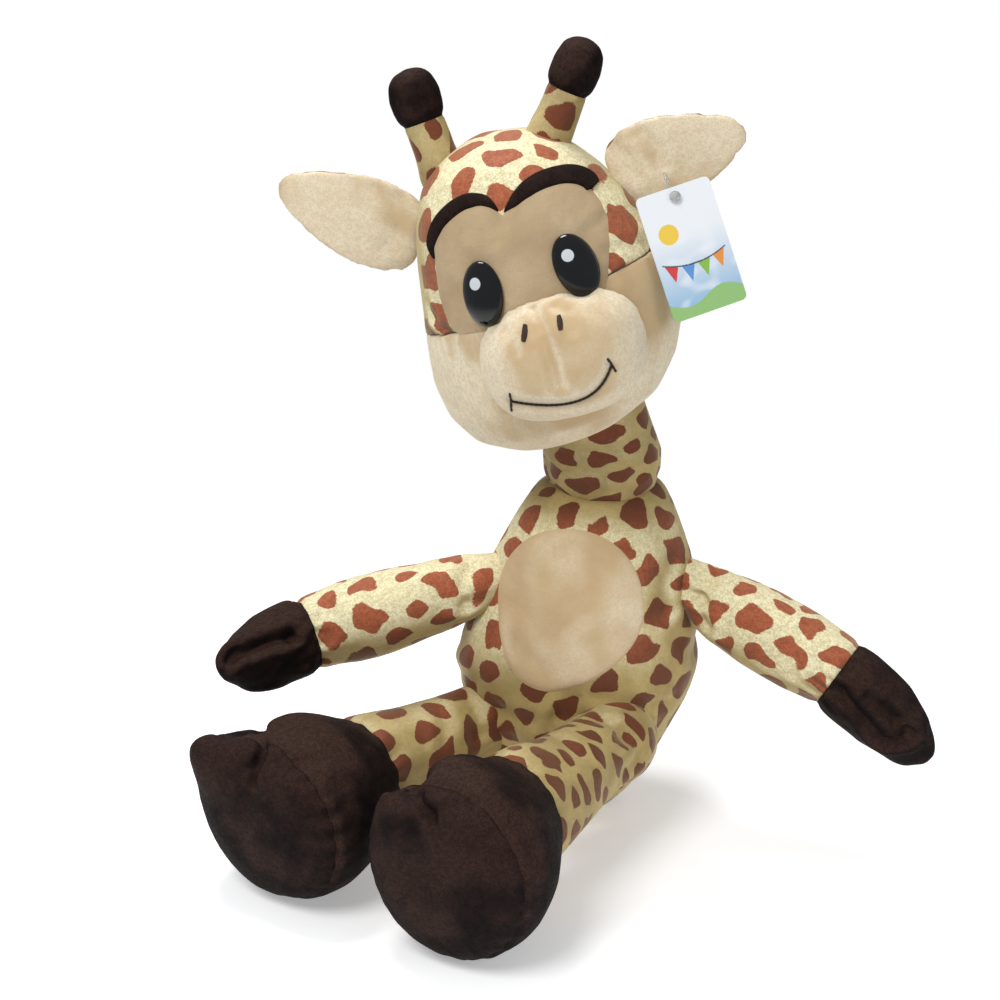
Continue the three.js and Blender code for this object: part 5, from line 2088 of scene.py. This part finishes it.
    def build_mouth(self, muzzle: bpy.types.Object) -> None:
        """The mouth's long thread and the tick across each end.

        Args:
            muzzle: The finished muzzle.
        """
        made = self.lay_thread("mouth_thread", muzzle, self.smile(80), 0.00064)
        ticks = ((self.mouth_points[0], (0.0016, 0.0052)), (self.mouth_points[-1], (-0.0009, 0.004)))
        for number, ((x, z), (lean, half)) in enumerate(ticks):
            tick = [(x + lean * t, z + half * t) for t in np.linspace(-1, 1, 14)]
            part = self.lay_thread(f"mouth_tick_{number}", muzzle, tick, 0.00062)
            Bench.pick(made)
            part.select_set(True)
            bpy.ops.object.join()
        dress(made, self.wardrobe.thread, ("mouth_stitch",))
        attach(made, "head")

    def build_nostrils(self, muzzle: bpy.types.Object) -> None:
        """Two short bars of satin stitch.

        Args:
            muzzle: The finished muzzle.
        """
        for side, lean, long, wide in ((Side.RIGHT, 68.0, 0.0082, 0.0029), (Side.LEFT, 85.0, 0.0066, 0.0027)):
            node = f"nostril_{side.word}"
            middle_at = self.in_head(np.array([middle(node)]))[0]
            run = Vector((math.cos(math.radians(lean)), math.sin(math.radians(lean)))) * long / 2
            centre = Vector((middle_at[0], middle_at[2]))
            path = (tuple(centre - run), tuple(centre + Vector((0.0002, 0))), tuple(centre + run))
            strip = Strip(f"{node}_stitch", path, (wide * 0.7, wide, wide, wide * 0.65), rise=0.0009, sunk=0.0004, along=28, sides=14)
            made = strip.build(muzzle, self.place)
            dress(made, self.wardrobe.brown_thread, (node,))
            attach(made, "head")


@dataclass
class Crown:
    """The horns and the ears."""

    wardrobe: Wardrobe
    head: Head

    def build(self) -> None:
        """Makes both pairs."""
        for number, side in enumerate(Side):
            self.build_horn(side, number)
            self.build_ear(side, number)

    def build_horn(self, side: Side, seed: int) -> None:
        """One stuffed horn, parted into its spotted stem and its dark tip.

        Args:
            side: The toy's side.
            seed: Sets one side apart from the other.
        """
        joint = Joint.named(f"horn_flex_{side.word}")
        stem, tip = f"horn_stem_{side.word}", f"horn_tip_{side.word}"
        way = (middle(tip) - joint.pivot).normalized()
        turn = cloth_frame(way)
        seam = Seam.between(stem, tip)
        pad = Pad(f"{stem}_whole", (stem, tip), Slot.SPOTTED, voxel=0.0018, relax=10, cap=0.0016)
        whole = pad.stuff(lambda p: seam.near(p, 0.002))
        skin = Skin(whole)
        skin.uneven(0.0009, 0.018, 31.0 + seed)
        skin.gather(seam.centre, seam.way, 0.006, 0.0007, 9, 1.0 + seed)
        skin.ring(seam.centre, seam.way, 0.0007, 0.0016)
        made = seam.part(whole, f"{stem}_plush", False)
        dress(made, self.wardrobe.spotted, (stem,))
        mark_cloth(made, turn, (1, 1, 1), 2.9 + seed)
        SpotPrint(spacing=0.0165, gap=0.0044, seed=41 + seed, stretch=1.1).mark(made, turn)
        Nap(most=0.2).mark(made, 15.0 + seed)
        joint.sew(made, way, 0.0, 0.012)
        end = seam.part(whole, f"{tip}_plush", True)
        dress(end, self.wardrobe.brown, (tip,))
        mark_cloth(end, turn, (1, 1, 1), 0.3 + seed)
        Nap(most=0.45, patchy=0.8).mark(end, 16.0 + seed)
        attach(end, joint.child)
        Bench.discard(whole)

    def build_ear(self, side: Side, seed: int) -> None:
        """One ear, parted along its rim into a beige lining and a spotted back.

        Args:
            side: The toy's side.
            seed: Sets one side apart from the other.
        """
        joint = Joint.named(f"ear_fold_{side.word}")
        lining, back = f"ear_lining_{side.word}", f"ear_back_{side.word}"
        way = (middle(lining, back) - joint.pivot).normalized()
        across = joint.axis.normalized()
        turn = cloth_frame(way)
        seam = Seam.between(lining, back)
        pad = Pad(f"{lining}_whole", (lining, back), Slot.BEIGE, voxel=0.0017, relax=5, cap=0.0012)
        whole = pad.stuff(lambda p: seam.near(p, 0.0012))
        parts = ((lining, Slot.BEIGE, self.wardrobe.beige, False), (back, Slot.SPOTTED, self.wardrobe.spotted, True))
        for node, slot, finish, second in parts:
            made = seam.part(whole, f"{node}_plush", second)
            skin = Skin(made)
            self.cup(skin, joint.pivot, way, across, seed)
            if not second:
                for path in self.ear_folds(side):
                    skin.fold(self.head.sight.trace(made, *path), 0.0011, 0.0036)
            dress(made, finish, (node,))
            mark_cloth(made, turn, (1, 1, 1.2), 0.6 + seed)
            if second:
                SpotPrint(spacing=0.018, gap=0.005, seed=51 + seed).mark(made, turn)
            Nap(way=tuple(way * -1 + Vector((0, -0.2, 0.3))), start=-0.75, full=0.6, most=0.8, patchy=0.8).mark(made, 17.0 + seed)
            joint.sew(made, way, -0.001, 0.012)
        Bench.discard(whole)

    @staticmethod
    def ear_folds(side: Side) -> tuple[tuple[tuple[float, float], ...], ...]:
        """The soft folds at an ear's root, as places in the front view.

        Args:
            side: The toy's side.

        Returns:
            The folds.
        """
        if side is Side.RIGHT:
            return ((374, 188), (388, 206), (392, 228), (384, 250)), ((398, 200), (402, 222), (398, 246))
        return ((612, 146), (628, 158), (636, 176)), ((640, 134), (656, 148), (660, 166))

    def cup(self, skin: Skin, root: Vector, way: Vector, across: Vector, seed: int) -> None:
        """Bends an ear's rim forward and pleats it at the root.

        Args:
            skin: The ear's skin.
            root: The ear's pivot.
            way: The way it points.
            across: The way across it.
            seed: Sets one side apart from the other.
        """
        offset = skin.points - np.array(root)
        along = np.clip(offset @ np.array(way) / 0.07, 0, 1)
        side = offset @ np.array(across) / 0.024
        rim = np.minimum(side * side, 1.2) * along * (1 - 0.35 * along)
        skin.points += np.array(self.head.facing)[None, :] * (0.006 * rim - 0.001 * along)[:, None]
        skin.write()
        skin.read()
        skin.uneven(0.0007, 0.02, 37.0 + seed)
        fold = [root + across * 0.002, root + way * 0.02 + across * 0.004, root + way * 0.036 + across * 0.009]
        skin.crease(fold, 0.0016, 0.0035)
        skin.crease([root - across * 0.006, root + way * 0.026 - across * 0.008], 0.001, 0.003)


@dataclass
class HangTag:
    """The card on the toy's left ear and the clear pin that holds it."""

    wardrobe: Wardrobe
    wide: float = 0.040
    high: float = 0.065
    thick: float = 0.0009
    corner: float = 0.003
    margin: float = 0.005
    hole: float = 0.002

    def build(self) -> None:
        """Makes the card and dresses the pin."""
        self.build_card()
        pin = frame["nodes"]["tag_pin"]
        pin.data.materials[0] = self.wardrobe.pin

    def card_frame(self) -> Matrix:
        """The card's own frame: its hole at the origin, its front towards -Y.

        Returns:
            The frame.
        """
        swing = Joint.named("tag_swing")
        front = swing.axis.normalized()
        points = Skin(frame["nodes"]["hang_tag"]).points
        down = Vector(points.mean(axis=0)) - swing.pivot
        down = (down - front * down.dot(front)).normalized()
        across = (-down).cross(front).normalized()
        across = front.cross(down).normalized() if across.length < 0.5 else across
        axes = Matrix((across, -front, -down)).transposed()
        if axes.determinant() < 0:
            axes = Matrix((-across, -front, -down)).transposed()
        return Matrix.Translation(swing.pivot) @ axes.to_4x4()

    def build_card(self) -> None:
        """The card with rounded corners, a punched hole and a plain print."""
        place = self.card_frame()
        Bench.clear()
        bpy.ops.mesh.primitive_grid_add(x_subdivisions=150, y_subdivisions=244, size=1)
        made = bpy.context.object
        made.name = made.data.name = "hang_tag_card"
        skin = Skin(made)
        half, top = self.wide / 2, self.margin
        x = skin.points[:, 0] * self.wide
        z = (skin.points[:, 1] - 0.5) * self.high + top
        x, z = self.rounded(x, z, half - self.corner, top - self.high / 2, self.high / 2 - self.corner)
        x, z = self.punched(x, z)
        skin.points = np.stack([x, np.zeros_like(x), z], axis=1)
        skin.write()
        self.print_colours(made, x, z)
        Bench.pick(made)
        bpy.ops.object.mode_set(mode="EDIT")
        bpy.ops.mesh.select_all(action="DESELECT")
        bpy.ops.object.mode_set(mode="OBJECT")
        inside = np.hypot(x, z) < self.hole * 0.98
        for vertex, chosen in zip(made.data.vertices, inside):
            vertex.select = bool(chosen)
        bpy.ops.object.mode_set(mode="EDIT")
        bpy.ops.mesh.delete(type="VERT")
        bpy.ops.object.mode_set(mode="OBJECT")
        skin = Skin(made)
        bow = 0.0009 * np.cos(skin.points[:, 0] / half * 1.4) * (skin.points[:, 2] / self.high)
        skin.points[:, 1] += bow
        skin.write()
        Bench.modify(made, "SOLIDIFY", thickness=self.thick, offset=0.0)
        made.matrix_world = place
        Bench.settle(made)
        SewnPatch.face_out(made, Vector((0, -1, 0)))
        dress(made, self.print_finish(), ("hang_tag",))
        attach(made, "tag")

    def rounded(self, x: np.ndarray, z: np.ndarray, wide: float, mid: float, high: float) -> tuple[np.ndarray, np.ndarray]:
        """Draws the grid's corners in to round ones.

        Args:
            x: Places across.
            z: Places up.
            wide: Half the width inside the corners.
            mid: The card's middle height.
            high: Half the height inside the corners.

        Returns:
            The new places.
        """
        out_x, out_z = np.abs(x) - wide, np.abs(z - mid) - high
        both = (out_x > 0) & (out_z > 0)
        reach = np.maximum(np.maximum(out_x, out_z), 1e-9)
        length = np.maximum(np.hypot(out_x, out_z), 1e-9)
        share = np.where(both, reach / length, 1.0)
        new_x = np.where(both, np.sign(x) * (wide + out_x * share), x)
        new_z = np.where(both, mid + np.sign(z - mid) * (high + out_z * share), z)
        return new_x, new_z

    def punched(self, x: np.ndarray, z: np.ndarray) -> tuple[np.ndarray, np.ndarray]:
        """Draws the grid to the round edge of the hole.

        Args:
            x: Places across.
            z: Places up.

        Returns:
            The new places.
        """
        out = np.maximum(np.hypot(x, z), 1e-9)
        near = np.abs(out - self.hole) < 0.00024
        share = np.where(near, self.hole / out, 1.0)
        return x * share, z * share

    def print_colours(self, made: bpy.types.Object, x: np.ndarray, z: np.ndarray) -> None:
        """Prints the card: pale sky with soft clouds, a plain sun and a row of pennants.

        Args:
            made: The card's grid.
            x: Places across.
            z: Places up.
        """
        foot = self.margin - self.high
        up = (z - foot) / self.high
        white = np.array(srgb(244, 247, 250))
        sky = np.array(srgb(96, 168, 214))
        blend = np.clip(0.88 - 1.35 * up, 0, 1)[:, None]
        cloud = np.array([noise.noise(Vector((a / 0.011, b / 0.007, 4.2))) for a, b in zip(x, z)])
        blend = np.clip(blend * (1 - 0.75 * np.clip(cloud * 2.2, 0, 1))[:, None], 0, 1)
        colour = white * (1 - blend) + sky * blend
        sun = np.hypot(x + 0.009, z + 0.017) < 0.0052
        colour[sun] = srgb(246, 206, 72)
        string = -0.031 - 0.0035 * (1 - (x / 0.017) ** 2)
        line = (np.abs(z - string) < 0.00035) & (np.abs(x) < 0.0172)
        tints = [srgb(214, 62, 62), srgb(92, 150, 214), srgb(140, 190, 70), srgb(236, 150, 60)]
        for number, tint in enumerate(tints):
            middle_x = -0.0129 + 0.0086 * number
            drop = string - z
            flag = (drop > 0) & (drop < 0.0085) & (np.abs(x - middle_x) < 0.0035 * (1 - drop / 0.0085))
            colour[flag] = tint
        colour[line] = srgb(60, 66, 84)
        hill = z < foot + 0.0085 + 0.003 * np.sin(x / 0.006)
        colour[hill] = srgb(150, 196, 120)
        layer = made.data.color_attributes.new("card_print", "FLOAT_COLOR", "POINT")
        rgba = np.concatenate([colour, np.ones((len(colour), 1))], axis=1)
        layer.data.foreach_set("color", rgba.astype(np.float32).ravel())

    def print_finish(self) -> bpy.types.Material:
        """The coated card, printed by the grid's own colours.

        Returns:
            The material.
        """
        material = bpy.data.materials.new("coated_card")
        material.use_nodes = True
        tree = material.node_tree
        tree.nodes.clear()
        r = Recipe(tree)
        print_at = r.add("Attribute", {"attribute_name": "card_print"}).outputs["Color"]
        place = r.add("TexCoord").outputs["Object"]
        fibre = r.noise(place, 900, 3.0, 0.6)
        colour = r.mix(r.math("MULTIPLY", fibre, 0.06), print_at, srgb(214, 216, 218))
        rough = r.math("ADD", 0.28, r.math("MULTIPLY", fibre, 0.12))
        bump = r.add("Bump", None, Strength=0.3, Distance=0.00005, Height=fibre)
        shader = r.add("BsdfPrincipled", None, Base_Color=colour, Roughness=rough, Normal=bump.outputs["Normal"])
        output = r.add("OutputMaterial")
        tree.links.new(shader.outputs[0], output.inputs["Surface"])
        return material


@dataclass
class Studio:
    """The floor, the plain soft light and the camera at the photograph's angle."""

    sight: Sight

    def build(self) -> None:
        """Sets the stage."""
        self.build_world()
        self.build_floor()
        self.build_lamps()
        self.build_camera()
        view = bpy.context.scene.view_settings
        view.view_transform = "Standard"

    @staticmethod
    def build_world() -> None:
        """Soft light from all round, white behind the toy."""
        world = bpy.data.worlds.new("soft_room")
        bpy.context.scene.world = world
        world.use_nodes = True
        tree = world.node_tree
        tree.nodes.clear()
        r = Recipe(tree)
        path = r.add("LightPath")
        seen = r.math("MAXIMUM", path.outputs["Is Camera Ray"], path.outputs["Is Transmission Ray"])
        room = r.add("Background", None, Color=(0.93, 0.96, 1.0), Strength=0.4)
        white = r.add("Background", None, Color=(1, 1, 1), Strength=1.0)
        blend = r.add("MixShader")
        tree.links.new(seen, blend.inputs[0])
        tree.links.new(room.outputs[0], blend.inputs[1])
        tree.links.new(white.outputs[0], blend.inputs[2])
        output = r.add("OutputWorld")
        tree.links.new(blend.outputs[0], output.inputs["Surface"])

    @staticmethod
    def build_floor() -> None:
        """A pale floor that fades into the white behind it."""
        Bench.clear()
        bpy.ops.mesh.primitive_plane_add(size=6, location=(0, 0, 0))
        floor = bpy.context.object
        floor.name = "studio_floor"
        material = bpy.data.materials.new("pale_floor")
        material.use_nodes = True
        tree = material.node_tree
        tree.nodes.clear()
        r = Recipe(tree)
        place = r.add("TexCoord").outputs["Object"]
        far = r.add("VectorMath", {"operation": "LENGTH"}, n0=place).outputs["Value"]
        fade = r.ramp(far, 0.28, 0.75)
        matt = r.add("BsdfDiffuse", None, Color=(0.93, 0.93, 0.93))
        glow = r.add("Emission", None, Color=(1, 1, 1), Strength=0.32)
        both = r.add("AddShader")
        tree.links.new(matt.outputs[0], both.inputs[0])
        tree.links.new(glow.outputs[0], both.inputs[1])
        clear = r.add("BsdfTransparent")
        blend = r.add("MixShader")
        tree.links.new(fade, blend.inputs[0])
        tree.links.new(both.outputs[0], blend.inputs[1])
        tree.links.new(clear.outputs[0], blend.inputs[2])
        output = r.add("OutputMaterial")
        tree.links.new(blend.outputs[0], output.inputs["Surface"])
        floor.data.materials.append(material)

    @staticmethod
    def build_lamps() -> None:
        """A wide soft key from the upper front, a fill and a light from above."""
        for name, place, aim, size, power, mirrored in (
            ("key", (-0.6, -0.95, 1.35), (0, 0, 0.18), 0.8, 14.5, False),
            ("fill", (1.2, -1.0, 0.75), (0, 0, 0.2), 0.9, 4.0, False),
            ("top", (-0.3, 0.3, 1.45), (0, 0, 0.2), 0.55, 9.5, True),
        ):
            light = bpy.data.lights.new(f"{name}_light", "AREA")
            light.shape = "DISK"
            light.size = size
            light.energy = power
            lamp = bpy.data.objects.new(f"{name}_lamp", light)
            bpy.context.scene.collection.objects.link(lamp)
            lamp.location = place
            lamp.rotation_euler = (Vector(aim) - Vector(place)).to_track_quat("-Z", "Y").to_euler()
            lamp.visible_glossy = mirrored

    def build_camera(self) -> None:
        """The camera, level across, looking down at the photograph's angle."""
        data = bpy.data.cameras.new("photo_camera")
        data.sensor_width = 36
        data.lens = 72
        camera = bpy.data.objects.new("photo_camera", data)
        bpy.context.scene.collection.objects.link(camera)
        camera.location = self.sight.eye
        camera.rotation_euler = self.sight.ahead.to_track_quat("-Z", "Y").to_euler()
        bpy.context.scene.camera = camera


def main() -> None:
    """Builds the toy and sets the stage."""
    wardrobe, sight = Wardrobe(), Sight()
    Body(wardrobe, sight).build()
    Limbs(wardrobe, sight).build()
    head = Head(wardrobe, sight)
    head.build()
    Crown(wardrobe, head).build()
    HangTag(wardrobe).build()
    Studio(sight).build()
    Bench.clear()


if __name__ == "__main__":
    main()
